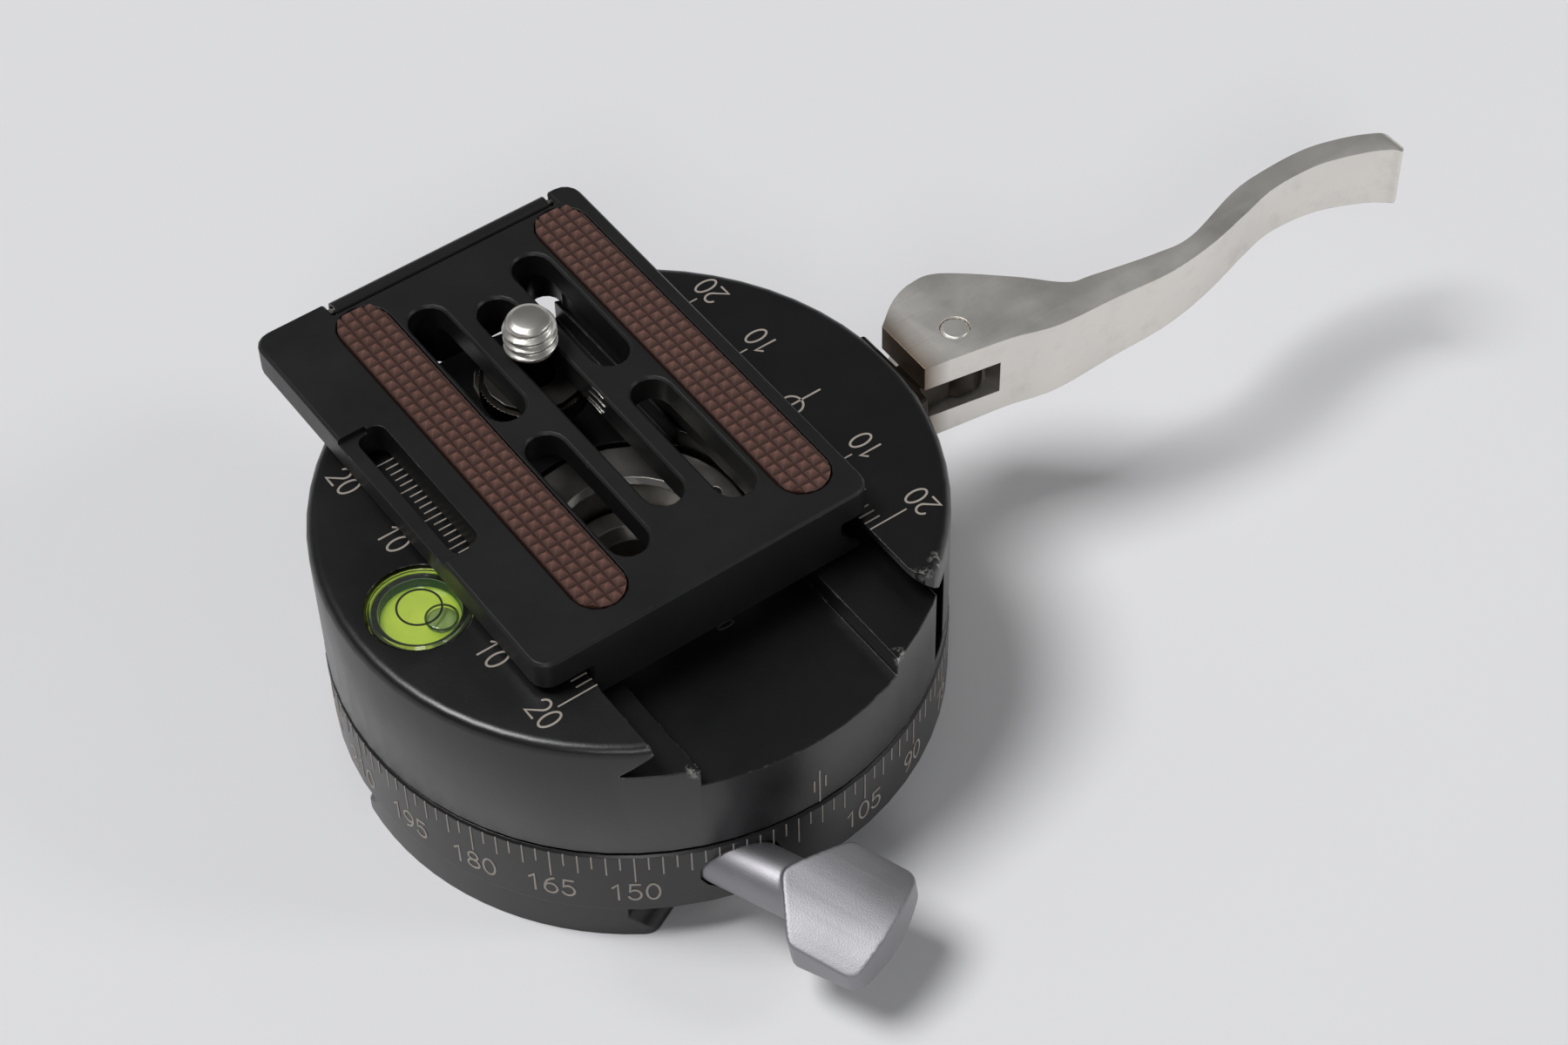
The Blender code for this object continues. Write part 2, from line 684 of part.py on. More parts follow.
def spindle_screw_places():
    for number in range(SPINDLE_SCREW_COUNT):
        angle = 2 * math.pi * number / SPINDLE_SCREW_COUNT + math.pi / 2
        place = (SPINDLE_SCREW_CIRCLE * math.cos(angle), SPINDLE_SCREW_CIRCLE * math.sin(angle))
        yield place, number + 1


def build_pan_bearing(axis, finish):
    post = turned(
        "pan_spindle",
        [
            (THREAD_BORE_RADIUS + THREAD_CHAMFER, SPINDLE_TOP),
            (SPINDLE_RADIUS - EDGE_BREAK, SPINDLE_TOP),
            (SPINDLE_RADIUS, SPINDLE_TOP - EDGE_BREAK),
            (SPINDLE_RADIUS, SPINDLE_FLANGE_TOP),
            (SPINDLE_FLANGE_RADIUS, SPINDLE_FLANGE_TOP),
            (SPINDLE_FLANGE_RADIUS, SPINDLE_FLANGE_BOTTOM),
            (SPINDLE_FOOT_RADIUS, SPINDLE_FLANGE_BOTTOM),
            (SPINDLE_FOOT_RADIUS, GAP),
            (THREAD_BORE_RADIUS + THREAD_CHAMFER, GAP),
            (THREAD_BORE_RADIUS, GAP + THREAD_CHAMFER),
            (THREAD_BORE_RADIUS, SPINDLE_TOP - THREAD_CHAMFER),
        ],
        MIDDLE_SIDES, axis, finish["steel"],
    )
    for place, number in spindle_screw_places():
        hole = rod(
            f"flange_hole_{number}", SPINDLE_SCREW_RADIUS + GAP,
            (*place, SPINDLE_FLANGE_BOTTOM - OVERRUN), (*place, SPINDLE_FLANGE_TOP + OVERRUN),
            SMALL_SIDES, axis,
        )
        cut(post, hole)
        head_bottom = SPINDLE_FLANGE_TOP + GAP
        screw = turned(
            f"spindle_screw_{number}",
            [
                (0, head_bottom + SPINDLE_SCREW_HEAD),
                (SPINDLE_SCREW_HEAD_RADIUS - EDGE_BREAK, head_bottom + SPINDLE_SCREW_HEAD),
                (SPINDLE_SCREW_HEAD_RADIUS, head_bottom + SPINDLE_SCREW_HEAD - EDGE_BREAK),
                (SPINDLE_SCREW_HEAD_RADIUS, head_bottom),
                (SPINDLE_SCREW_RADIUS, head_bottom),
                (SPINDLE_SCREW_RADIUS, CAVITY_FLOOR - SPINDLE_SCREW_LENGTH + GAP),
                (0, CAVITY_FLOOR - SPINDLE_SCREW_LENGTH + GAP),
            ],
            TINY_SIDES, axis, finish["steel"],
        )
        screw.location = (*place, 0)
    bake(post)
    turned(
        "thrust_washer",
        [
            (THRUST_OUTER, THRUST_FLOOR + GAP + THRUST_WASHER),
            (THRUST_OUTER, THRUST_FLOOR + GAP),
            (THRUST_INNER, THRUST_FLOOR + GAP),
            (THRUST_INNER, THRUST_FLOOR + GAP + THRUST_WASHER),
        ],
        LARGE_SIDES, axis, finish["plastic"],
    )
    washer_low = COUNTERBORE_FLOOR + GAP
    turned(
        "friction_washer",
        [
            (PAN_BORE_RADIUS, washer_low + FRICTION_DISH + FRICTION_WASHER),
            (NUT_RADIUS - GAP, washer_low + FRICTION_WASHER),
            (NUT_RADIUS - GAP, washer_low),
            (PAN_BORE_RADIUS, washer_low + FRICTION_DISH),
        ],
        MIDDLE_SIDES, axis, finish["steel"],
    )
    nut_bottom = washer_low + FRICTION_DISH + FRICTION_WASHER + GAP
    nut = turned(
        "spindle_nut",
        [
            (PAN_BORE_RADIUS + NUT_CHAMFER, NUT_TOP),
            (NUT_RADIUS - EDGE_BREAK, NUT_TOP),
            (NUT_RADIUS, NUT_TOP - EDGE_BREAK),
            (NUT_RADIUS, nut_bottom),
            (PAN_BORE_RADIUS, nut_bottom),
            (PAN_BORE_RADIUS, NUT_TOP - NUT_CHAMFER),
        ],
        MIDDLE_SIDES, axis, finish["steel"],
    )
    for side in (-1, 1):
        place_x = side * (PAN_BORE_RADIUS + NUT_RADIUS) / 2
        key = rod(
            f"nut_key_tool_{side}", NUT_KEY_RADIUS,
            (place_x, 0, NUT_TOP - NUT_KEY_DEPTH), (place_x, 0, NUT_TOP + OVERRUN),
            TINY_SIDES, axis,
        )
        cut(nut, key)
    bake(nut)


def lock_axis(name):
    """The pan lock's axis: its X runs outwards along the knob and its Y across the knob."""
    across = LOCK_AZIMUTH - math.pi / 2
    origin = (LOCK_OFFSET * math.cos(across), LOCK_OFFSET * math.sin(across), LOCK_HEIGHT)
    return add_axis(name, origin, (KNOB_ROLL, 0, LOCK_AZIMUTH))


def cut_lock_bore(disc):
    """The bore across the base for brake and stud, with the stem's pocket at its mouth."""
    tools = lock_axis("lock_bore_axis")
    inner_end = COTTER_LENGTH / 2 + LOCK_TRAVEL_ROOM + GAP
    bore = rod(
        "lock_bore_tool", LOCK_BORE_RADIUS, (-inner_end, 0, 0), (BASE_RADIUS, 0, 0),
        SMALL_SIDES, tools,
    )
    pocket = rod(
        "stem_pocket_tool", STEM_RADIUS + GAP,
        (STEM_INNER_END - STEM_POCKET_ROOM, 0, 0), (BASE_RADIUS, 0, 0), SMALL_SIDES, tools,
    )
    cut(disc, bore, pocket)
    bake(disc)


def build_brake(axis, pan_axis, finish):
    half = COTTER_LENGTH / 2
    cotter = rod("brake_cotter", COTTER_RADIUS, (-half, 0, 0), (half, 0, 0), SMALL_SIDES, axis,
                 finish["brass"])
    hub_room = rod(
        "cotter_flank_tool", CAVITY_RADIUS, (0, 0, 0), (0, 0, BASE_TOP), LARGE_SIDES, pan_axis
    )
    cut(cotter, hub_room)
    bake(cotter)


def build_knob(axis, finish):
    half = KNOB_WIDTH / 2
    shoulder = KNOB_NECK + KNOB_SHOULDER
    side_end = shoulder + KNOB_SIDE
    crown_radius = (half**2 + KNOB_CROWN**2) / (2 * KNOB_CROWN)
    crown_angle = math.asin((half - KNOB_CORNER) / crown_radius)
    crown_centre = (side_end + KNOB_CROWN - crown_radius, 0)
    neck_half = STEM_RADIUS - EDGE_BREAK
    lower = rounded(
        [(KNOB_NECK, neck_half), (KNOB_NECK, -neck_half), (shoulder, -half), (side_end, -half),
         (side_end, half), (shoulder, half)],
        KNOB_CORNER,
    )
    per_corner = CORNER_STEPS + 1
    outline = lower[: 4 * per_corner]
    outline += arc(crown_centre, crown_radius, -crown_angle, crown_angle, SMALL_SIDES // 2)[1:-1]
    outline += lower[4 * per_corner :]
    leaf = extruded("lock_knob", outline, -KNOB_THICKNESS / 2, KNOB_THICKNESS / 2, axis,
                    finish["blasted"])
    bevel(leaf, KNOB_EDGE, 3)
    bake(leaf)
    dish_half = half - KNOB_EDGE
    dish_radius = (dish_half**2 + KNOB_DISH**2) / (2 * KNOB_DISH)
    for side in (-1, 1):
        dish_z = side * (KNOB_THICKNESS / 2 + dish_radius - KNOB_DISH)
        dish = rod(
            f"knob_dish_tool_{side}", dish_radius, (shoulder - OVERRUN, 0, dish_z),
            (side_end + 2 * KNOB_CROWN, 0, dish_z), 2 * LARGE_SIDES, axis,
        )
        cut(leaf, dish)
    stem = rod(
        "knob_stem_tool", STEM_RADIUS, (STEM_INNER_END, 0, 0), (KNOB_NECK + KNOB_CORNER, 0, 0),
        SMALL_SIDES, axis,
    )
    join(leaf, stem)
    tang_hole = rod(
        "stud_tang_hole_tool", STUD_TANG_RADIUS + GAP, (STEM_INNER_END - OVERRUN, 0, 0),
        (STEM_INNER_END + STUD_TANG_LENGTH + GAP, 0, 0), TINY_SIDES, axis,
    )
    cut(leaf, tang_hole)
    bake(leaf)
    stud_start = COTTER_LENGTH / 2 + GAP
    stud_end = STEM_INNER_END - GAP
    stud = rod("lock_screw", STUD_RADIUS, (stud_start, 0, 0), (stud_end, 0, 0), SMALL_SIDES, axis,
               finish["steel"])
    tang = rod(
        "stud_tang_tool", STUD_TANG_RADIUS, (stud_end - GAP, 0, 0),
        (STEM_INNER_END + STUD_TANG_LENGTH, 0, 0), TINY_SIDES, axis,
    )
    join(stud, tang)
    bake(stud)


def body_profile(bottom):
    """The turned outer shape that body and jaw share, from the rounded top edge down."""
    fillet = arc(
        (BODY_RADIUS - BODY_ROUNDING, BODY_TOP - BODY_ROUNDING), BODY_ROUNDING, math.pi / 2, 0,
        CORNER_STEPS,
    )
    return [(0, BODY_TOP), *fillet, (BODY_RADIUS, bottom + EDGE_BREAK),
            (BODY_RADIUS - EDGE_BREAK, bottom)]


def build_clamp_body(axis, finish):
    body = turned(
        "clamp_body",
        [
            *body_profile(BODY_BOTTOM),
            (HUB_RADIUS, BODY_BOTTOM),
            (HUB_RADIUS, HUB_BOTTOM + EDGE_BREAK),
            (HUB_RADIUS - EDGE_BREAK, HUB_BOTTOM),
            (0, HUB_BOTTOM),
        ],
        LARGE_SIDES, axis, finish["anodised"],
    )
    above = BODY_TOP + OVERRUN
    beyond = BODY_RADIUS + OVERRUN
    channel = extruded_along_y(
        "channel_tool",
        [
            (FIXED_LIP_X, above), (FIXED_LIP_X, UNDERCUT_TOP),
            (FIXED_LIP_X - UNDERCUT, UNDERCUT_BOTTOM), (FIXED_LIP_X - UNDERCUT, REST_Z),
            (LEFT_REST_X, REST_Z), (LEFT_REST_X, FLOOR_Z), (RIGHT_REST_X, FLOOR_Z),
            (RIGHT_REST_X, REST_Z), (BLOCK_X, REST_Z), (BLOCK_X, FLANGE_TOP),
            (beyond, FLANGE_TOP), (beyond, above),
        ],
        -beyond, beyond, axis,
    )
    bearing = turned(
        "bearing_tool",
        [
            (0, above),
            (COUNTERBORE_RADIUS, above),
            (COUNTERBORE_RADIUS, COUNTERBORE_FLOOR),
            (PAN_BORE_RADIUS, COUNTERBORE_FLOOR),
            (PAN_BORE_RADIUS, WEB_BOTTOM),
            (HUB_RADIUS - HUB_WALL, WEB_BOTTOM),
            (HUB_RADIUS - HUB_WALL, HUB_BOTTOM - OVERRUN),
            (0, HUB_BOTTOM - OVERRUN),
        ],
        LARGE_SIDES, axis,
    )
    cut(body, channel)
    bevel(body, EDGE_BREAK)
    bake(body)
    cut(body, bearing)
    level_pocket = rod(
        "level_pocket_tool", LEVEL_POCKET_RADIUS, (LEVEL_X, LEVEL_Y, LEVEL_POCKET_FLOOR),
        (LEVEL_X, LEVEL_Y, above), MIDDLE_SIDES, axis,
    )
    cut(body, level_pocket)
    outside = BLOCK_X + OVERRUN
    for side in (-1, 1):
        guide = rod(
            f"guide_hole_{side}", GUIDE_RADIUS + GAP,
            (BLOCK_X - GUIDE_HOLD - GAP, side * GUIDE_Y, GUIDE_Z), (outside, side * GUIDE_Y, GUIDE_Z),
            TINY_SIDES, axis,
        )
        pocket = rod(
            f"spring_pocket_{side}", SPRING_RADIUS + GAP,
            (BLOCK_X - SPRING_POCKET, side * SPRING_Y, GUIDE_Z), (outside, side * SPRING_Y, GUIDE_Z),
            TINY_SIDES, axis,
        )
        cut(body, guide, pocket)
    shank_hole = rod(
        "shank_hole_tool", SHANK_HOLE_RADIUS, (BLOCK_X - SHANK_HOLD - GAP, 0, DRAWBAR_Z),
        (outside, 0, DRAWBAR_Z), SMALL_SIDES, axis,
    )
    cut(body, shank_hole)
    return bake(body)


def build_guides_and_springs(axis, finish):
    spring_start = BLOCK_X - SPRING_POCKET + GAP + SPRING_WIRE
    spring_end = JAW_WALL_X + SPRING_JAW_POCKET - GAP - SPRING_WIRE
    coil_radius = SPRING_RADIUS - SPRING_WIRE
    for side, word in ((-1, "front"), (1, "back")):
        rod(
            f"guide_pin_{word}", GUIDE_RADIUS, (BLOCK_X - GUIDE_HOLD, side * GUIDE_Y, GUIDE_Z),
            (BLOCK_X + GUIDE_REACH, side * GUIDE_Y, GUIDE_Z), TINY_SIDES, axis, finish["steel"],
        )
        steps = SPRING_TURNS * SPRING_POINTS
        points = []
        for step in range(steps + 1):
            angle = 2 * math.pi * step / SPRING_POINTS
            points.append((
                spring_start + (spring_end - spring_start) * step / steps,
                side * SPRING_Y + coil_radius * math.cos(angle),
                GUIDE_Z + coil_radius * math.sin(angle),
            ))
        add_piece(f"return_spring_{word}", tube_mesh(points, SPRING_WIRE, False, 1), axis,
                  finish["steel"])


def build_drawbar(axis, finish):
    low = DRAWBAR_Z - DRAWBAR_HEIGHT / 2
    high = DRAWBAR_Z + DRAWBAR_HEIGHT / 2
    bar_start = PIVOT_X - DRAWBAR_NECK
    bar = rod("drawbar", EYE_RADIUS, (PIVOT_X, 0, low), (PIVOT_X, 0, high), SMALL_SIDES, axis,
              finish["steel"])
    neck = block(
        "drawbar_neck_tool", (bar_start, -DRAWBAR_WIDTH / 2, low + EDGE_BREAK / 2),
        (PIVOT_X, DRAWBAR_WIDTH / 2, high - EDGE_BREAK / 2), axis,
    )
    shank = rod(
        "drawbar_shank_tool", SHANK_RADIUS, (BLOCK_X - SHANK_HOLD, 0, DRAWBAR_Z),
        (bar_start + GAP, 0, DRAWBAR_Z), SMALL_SIDES, axis,
    )
    eye = rod(
        "drawbar_eye_tool", PIN_HOLE_RADIUS, (PIVOT_X, 0, low - OVERRUN),
        (PIVOT_X, 0, high + OVERRUN), SMALL_SIDES, axis,
    )
    join(bar, neck, shank)
    cut(bar, eye)
    bake(bar)


def build_level(axis, finish):
    place = (LEVEL_X, LEVEL_Y, 0)
    cup_bottom = LEVEL_POCKET_FLOOR + GAP
    cup_top = LEVEL_LENS_BOTTOM - GAP
    inner = LEVEL_RADIUS - LEVEL_WALL
    cup_floor = cup_bottom + LEVEL_FLOOR
    cup = turned(
        "level_cup",
        [
            (0, cup_floor), (inner, cup_floor), (inner, cup_top), (LEVEL_RADIUS, cup_top),
            (LEVEL_RADIUS, cup_bottom), (0, cup_bottom),
        ],
        MIDDLE_SIDES, axis, finish["level_green"],
    )
    fluid = turned(
        "level_fluid",
        [
            (0, cup_top - GAP), (inner - GAP, cup_top - GAP), (inner - GAP, cup_floor + GAP),
            (0, cup_floor + GAP),
        ],
        MIDDLE_SIDES, axis, finish["level_green"],
    )
    lens = turned(
        "level_lens",
        [
            (0, BODY_TOP), (LEVEL_RADIUS - EDGE_BREAK, BODY_TOP),
            (LEVEL_RADIUS, BODY_TOP - EDGE_BREAK), (LEVEL_RADIUS, LEVEL_LENS_BOTTOM),
            (0, LEVEL_LENS_BOTTOM),
        ],
        MIDDLE_SIDES, axis, finish["clear"],
    )
    for obj in (cup, fluid, lens):
        obj.location = place


def jaw_plan():
    """The jaw seen from above: a segment of the body's circle with rounded nose ends."""
    corner_x = JAW_TIP_X + JAW_CORNER
    corner_y = math.sqrt((BODY_RADIUS - JAW_CORNER) ** 2 - corner_x**2)
    meet = math.atan2(corner_y, corner_x)
    plan = arc((corner_x, -corner_y), JAW_CORNER, -math.pi, -meet, CORNER_STEPS)
    plan += arc((0, 0), BODY_RADIUS + OVERRUN, -meet, meet, SMALL_SIDES)
    plan += arc((corner_x, corner_y), JAW_CORNER, meet, math.pi, CORNER_STEPS)
    return plan


def build_jaw(axis, finish):
    """The jaw's mesh is drawn about the pan axis, and the empty at its tip only carries it."""
    above = BODY_TOP + OVERRUN
    beyond = BODY_RADIUS + OVERRUN
    jaw = turned(
        "moving_jaw", [*body_profile(JAW_BOTTOM), (0, JAW_BOTTOM)], LARGE_SIDES, axis,
        finish["anodised"],
    )
    plan = extruded("jaw_plan_tool", jaw_plan(), JAW_BOTTOM - OVERRUN, above, axis)
    section = extruded_along_y(
        "jaw_section_tool",
        [
            (JAW_TIP_X, above), (JAW_TIP_X, UNDERCUT_TOP), (JAW_TIP_X + UNDERCUT, UNDERCUT_BOTTOM),
            (JAW_WALL_X, UNDERCUT_BOTTOM), (JAW_WALL_X, JAW_BOTTOM - OVERRUN),
            (beyond, JAW_BOTTOM - OVERRUN), (beyond, above),
        ],
        -beyond, beyond, axis,
    )
    combine(jaw, section, "INTERSECT")
    combine(jaw, plan, "INTERSECT")
    flat = block(
        "jaw_flat_tool", (JAW_FLAT_X, -BODY_RADIUS, JAW_BOTTOM - OVERRUN),
        (beyond, BODY_RADIUS, above), axis,
    )
    cut(jaw, flat)
    bevel(jaw, EDGE_BREAK)
    bake(jaw)
    inside = JAW_WALL_X - OVERRUN
    for side in (-1, 1):
        guide = rod(
            f"jaw_guide_hole_{side}", GUIDE_RADIUS + GAP, (inside, side * GUIDE_Y, GUIDE_Z),
            (BLOCK_X + GUIDE_REACH + JAW_TRAVEL + GAP, side * GUIDE_Y, GUIDE_Z), TINY_SIDES, axis,
        )
        pocket = rod(
            f"jaw_spring_pocket_{side}", SPRING_RADIUS + GAP, (inside, side * SPRING_Y, GUIDE_Z),
            (JAW_WALL_X + SPRING_JAW_POCKET, side * SPRING_Y, GUIDE_Z), TINY_SIDES, axis,
        )
        cut(jaw, guide, pocket)
    shank_hole = rod(
        "jaw_shank_hole_tool", SHANK_CLEAR_RADIUS, (inside, 0, DRAWBAR_Z),
        (JAW_FLAT_X + OVERRUN, 0, DRAWBAR_Z), SMALL_SIDES, axis,
    )
    cut(jaw, shank_hole)
    bake(jaw)
    wear = block(
        "wear_plate", (WEAR_INNER_X, -WEAR_NEAR, WEAR_BOTTOM), (WEAR_FACE_X, WEAR_FAR, WEAR_TOP),
        axis, finish["dark_steel"],
    )
    bevel(wear, EDGE_BREAK)
    bake(wear)
    wear_hole = rod(
        "wear_hole_tool", SHANK_CLEAR_RADIUS, (JAW_FLAT_X - OVERRUN, 0, DRAWBAR_Z),
        (PIVOT_X, 0, DRAWBAR_Z), SMALL_SIDES, axis,
    )
    cut(wear, wear_hole)
    bake(wear)


def lever_outline():
    def placed(shares):
        return smooth_through([(x * LEVER_REACH, y * LEVER_SHOULDER) for x, y in shares])

    return placed(LEVER_FRONT_SHARES) + placed(LEVER_BACK_SHARES)[::-1]


def build_lever(axis, finish):
    """The lever lies along X from its pivot, which is the empty's origin."""
    lever = extruded(
        "cam_lever", lever_outline(), LEVER_TOP - LEVER_HUB_HEIGHT, LEVER_TOP, axis,
        finish["stainless"],
    )
    underside = smooth_through([
        (x * LEVER_REACH, LEVER_TOP - depth * LEVER_HUB_HEIGHT) for x, depth in LEVER_DEPTH_SHARES
    ])
    deep = LEVER_TOP - LEVER_HUB_HEIGHT - OVERRUN
    underside += [(underside[-1][0], deep), (underside[0][0], deep)]
    belly = extruded_along_y("lever_belly_tool", underside, -LEVER_REACH, LEVER_REACH, axis)
    cut(lever, belly)
    weld = lever.modifiers.new("weld", "WELD")
    weld.merge_threshold = EDGE_BREAK
    bevel(lever, LEVER_EDGE, 2)
    bake(lever)
    slot_low = DRAWBAR_Z - FORK_SLOT_HEIGHT / 2
    slot_high = DRAWBAR_Z + FORK_SLOT_HEIGHT / 2
    run = FORK_REACH / math.tan(FORK_OPEN_ANGLE)
    fork = extruded(
        "fork_slot_tool",
        [
            (-FORK_REACH, -FORK_REACH), (FORK_WALL_X, -FORK_REACH), (FORK_WALL_X, -FORK_WALL_Y),
            (FORK_WALL_X + run, FORK_REACH - FORK_WALL_Y), (-FORK_REACH, FORK_REACH - FORK_WALL_Y),
        ],
        slot_low, slot_high, axis,
    )
    eye_room = rod(
        "eye_room_tool", EYE_RADIUS + EYE_ROOM, (0, 0, slot_low), (0, 0, slot_high), SMALL_SIDES,
        axis,
    )
    pin_hole = rod(
        "pin_hole_tool", PIN_HOLE_RADIUS, (0, 0, LEVER_TOP - LEVER_HUB_HEIGHT - OVERRUN),
        (0, 0, LEVER_TOP + OVERRUN), SMALL_SIDES, axis,
    )
    cut(lever, fork, eye_room, pin_hole)
    bake(lever)
    turned(
        "pivot_pin",
        [
            (0, LEVER_TOP), (PIN_RADIUS - EDGE_BREAK, LEVER_TOP), (PIN_RADIUS, LEVER_TOP - EDGE_BREAK),
            (PIN_RADIUS, LEVER_TOP - LEVER_HUB_HEIGHT + 2 * EDGE_BREAK),
            (PIN_RADIUS - EDGE_BREAK, LEVER_TOP - LEVER_HUB_HEIGHT + EDGE_BREAK),
            (0, LEVER_TOP - LEVER_HUB_HEIGHT + EDGE_BREAK),
        ],
        SMALL_SIDES, axis, finish["stainless"],
    )


def slot_outlines():
    """The plate's five slots: a long one in the middle and two pairs beside it."""
    yield obround(SLOT_CENTRE_X, PLATE_NEAR_Y + SLOT_MIDDLE_NEAR,
                  PLATE_NEAR_Y + SLOT_MIDDLE_NEAR + SLOT_MIDDLE_LENGTH, SLOT_WIDTH)
    for side in (-1, 1):
        for step in (0, 1):
            near = PLATE_NEAR_Y + SLOT_SIDE_NEAR + step * SLOT_SIDE_STEP
            yield obround(SLOT_CENTRE_X + side * SLOT_PITCH, near, near + SLOT_SIDE_LENGTH, SLOT_WIDTH)


def pad_middles():
    return (("left", PLATE_LEFT + PAD_LEFT_X), ("right", PLATE_RIGHT - PAD_RIGHT_X))


def build_plate(axis, finish):
    wing_bottom = PLATE_TOP - PLATE_WING
    foot_left = PLATE_NECK_LEFT - PLATE_FLARE
    foot_right = PLATE_NECK_RIGHT + PLATE_FLARE
    foot_edge = PLATE_BOTTOM + PLATE_FOOT_LAND
    past_left = PLATE_LEFT - OVERRUN
    past_right = PLATE_RIGHT + OVERRUN
    plate = extruded_along_y(
        "quick_release_plate",
        [
            (past_left, PLATE_TOP), (past_left, wing_bottom), (PLATE_NECK_LEFT, wing_bottom),
            (PLATE_NECK_LEFT, PLATE_NECK_Z), (foot_left, foot_edge), (foot_left, PLATE_BOTTOM),
            (foot_right, PLATE_BOTTOM), (foot_right, foot_edge), (PLATE_NECK_RIGHT, PLATE_NECK_Z),
            (PLATE_NECK_RIGHT, wing_bottom), (past_right, wing_bottom), (past_right, PLATE_TOP),
        ],
        PLATE_NEAR_Y - OVERRUN, PLATE_FAR_Y + OVERRUN, axis, finish["plate_black"],
    )
    low = PLATE_BOTTOM - OVERRUN
    high = PLATE_TOP + OVERRUN
    plan = extruded(
        "plate_plan_tool",
        rounded(rectangle(PLATE_LEFT, PLATE_RIGHT, PLATE_NEAR_Y, PLATE_FAR_Y), PLATE_CORNER),
        low, high, axis,
    )
    recess = block(
        "stop_recess_tool", (RECESS_LEFT_X, RECESS_Y, low),
        (RECESS_RIGHT_X, PLATE_FAR_Y + OVERRUN, high), axis,
    )
    combine(plate, plan, "INTERSECT")
    cut(plate, recess)
    bevel(plate, EDGE_BREAK)
    bake(plate)
    bar_near = PLATE_NEAR_Y + STRAP_SLOT_NEAR
    bar_far = bar_near + STRAP_SLOT_LENGTH
    lowered_bar = block(
        "strap_bar_tool",
        (PLATE_LEFT - OVERRUN, bar_near - STRAP_BAR_MARGIN, PLATE_TOP - STRAP_BAR_DROP),
        (PLATE_LEFT + STRAP_BAR + STRAP_SLOT_WIDTH / 2, bar_far + STRAP_BAR_MARGIN, high), axis,
    )
    strap_left = PLATE_LEFT + STRAP_BAR
    strap_outline = rounded(
        rectangle(strap_left, strap_left + STRAP_SLOT_WIDTH, bar_near, bar_far), STRAP_CORNER
    )
    strap_slot = extruded("strap_slot_tool", strap_outline, wing_bottom - GAP, high, axis)
    cut(plate, lowered_bar, strap_slot)
    for number, outline in enumerate(slot_outlines()):
        cut(plate, extruded(f"slot_tool_{number}", outline, low, high, axis))
        cut(plate, rim(f"slot_rim_tool_{number}", outline, PLATE_TOP, axis))
    bake(plate)
    hollow = extruded(
        "hollow_tool",
        rounded(
            rectangle(PLATE_NECK_LEFT + HOLLOW_WALL_LEFT, PLATE_NECK_RIGHT - HOLLOW_WALL_RIGHT,
                      PLATE_NEAR_Y + HOLLOW_WALL_NEAR, HOLLOW_FAR_Y),
            HOLLOW_CORNER,
        ),
        low, HOLLOW_TOP, axis,
    )
    # The cutter runs past the hollow's two far corners and leaves them relieved
    corner_reliefs = [
        rod(f"corner_relief_tool_{word}", HOLLOW_CORNER, (x, HOLLOW_FAR_Y, low),
            (x, HOLLOW_FAR_Y, HOLLOW_TOP), SMALL_SIDES, axis)
        for word, x in (
            ("left", PLATE_NECK_LEFT + HOLLOW_WALL_LEFT + HOLLOW_CORNER),
            ("right", PLATE_NECK_RIGHT - HOLLOW_WALL_RIGHT - HOLLOW_CORNER),
        )
    ]
    cut(plate, hollow, *corner_reliefs)
    pad_near = PLATE_NEAR_Y + PAD_NEAR
    pad_far = pad_near + PAD_LENGTH
    floor = PLATE_TOP - PAD_POCKET
    for word, middle in pad_middles():
        pocket = extruded(
            f"pad_pocket_tool_{word}",
            obround(middle, pad_near - PAD_MARGIN, pad_far + PAD_MARGIN, PAD_WIDTH + 2 * PAD_MARGIN),
            floor, high, axis,
        )
        cut(plate, pocket)
        pad = extruded(
            f"pad_{word}", obround(middle, pad_near, pad_far, PAD_WIDTH),
            floor + GAP, floor + GAP + PAD_THICKNESS, axis, finish["rubber"],
        )
        bake(pad)
    for word, wall_x, side in (("left", RECESS_LEFT_X, -1), ("right", RECESS_RIGHT_X, 1)):
        hinge = (STOP_HINGE_Y, STOP_HINGE_Z)
        pin_hole = rod(
            f"stop_pin_hole_{word}", STOP_PIN_HOLE,
            (wall_x - side * OVERRUN, *hinge), (wall_x + side * (STOP_PIN_HALF + GAP), *hinge),
            TINY_SIDES, axis,
        )
        cut(plate, pin_hole)
        rod(
            f"stop_pin_{word}", STOP_PIN_RADIUS,
            (wall_x - side * STOP_PIN_HALF, *hinge), (wall_x + side * STOP_PIN_HALF, *hinge),
            TINY_SIDES, axis, finish["steel"],
        )
    bake(plate)


def build_stop(axis, finish):
    """The stop hangs below its hinge line, which is the empty's X axis."""
    half = STOP_THICKNESS / 2
    foot = PLATE_BOTTOM + GAP - STOP_HINGE_Z
    section = arc((0, 0), half, math.pi, 0, SMALL_SIDES // 2) + [(half, foot), (-half, foot)]
    left = RECESS_LEFT_X + STOP_SIDE_GAP
    right = RECESS_RIGHT_X - STOP_SIDE_GAP
    stop = extruded_along_x("anti_twist_stop", section, left, right, axis, finish["plate_black"])
    for word, wall_x, side in (("left", RECESS_LEFT_X, -1), ("right", RECESS_RIGHT_X, 1)):
        hole = rod(
            f"stop_bore_{word}", STOP_PIN_HOLE, (wall_x + side * OVERRUN, 0, 0),
            (wall_x - side * (STOP_PIN_HALF + GAP), 0, 0), TINY_SIDES, axis,
        )
        cut(stop, hole)
    bake(stop)


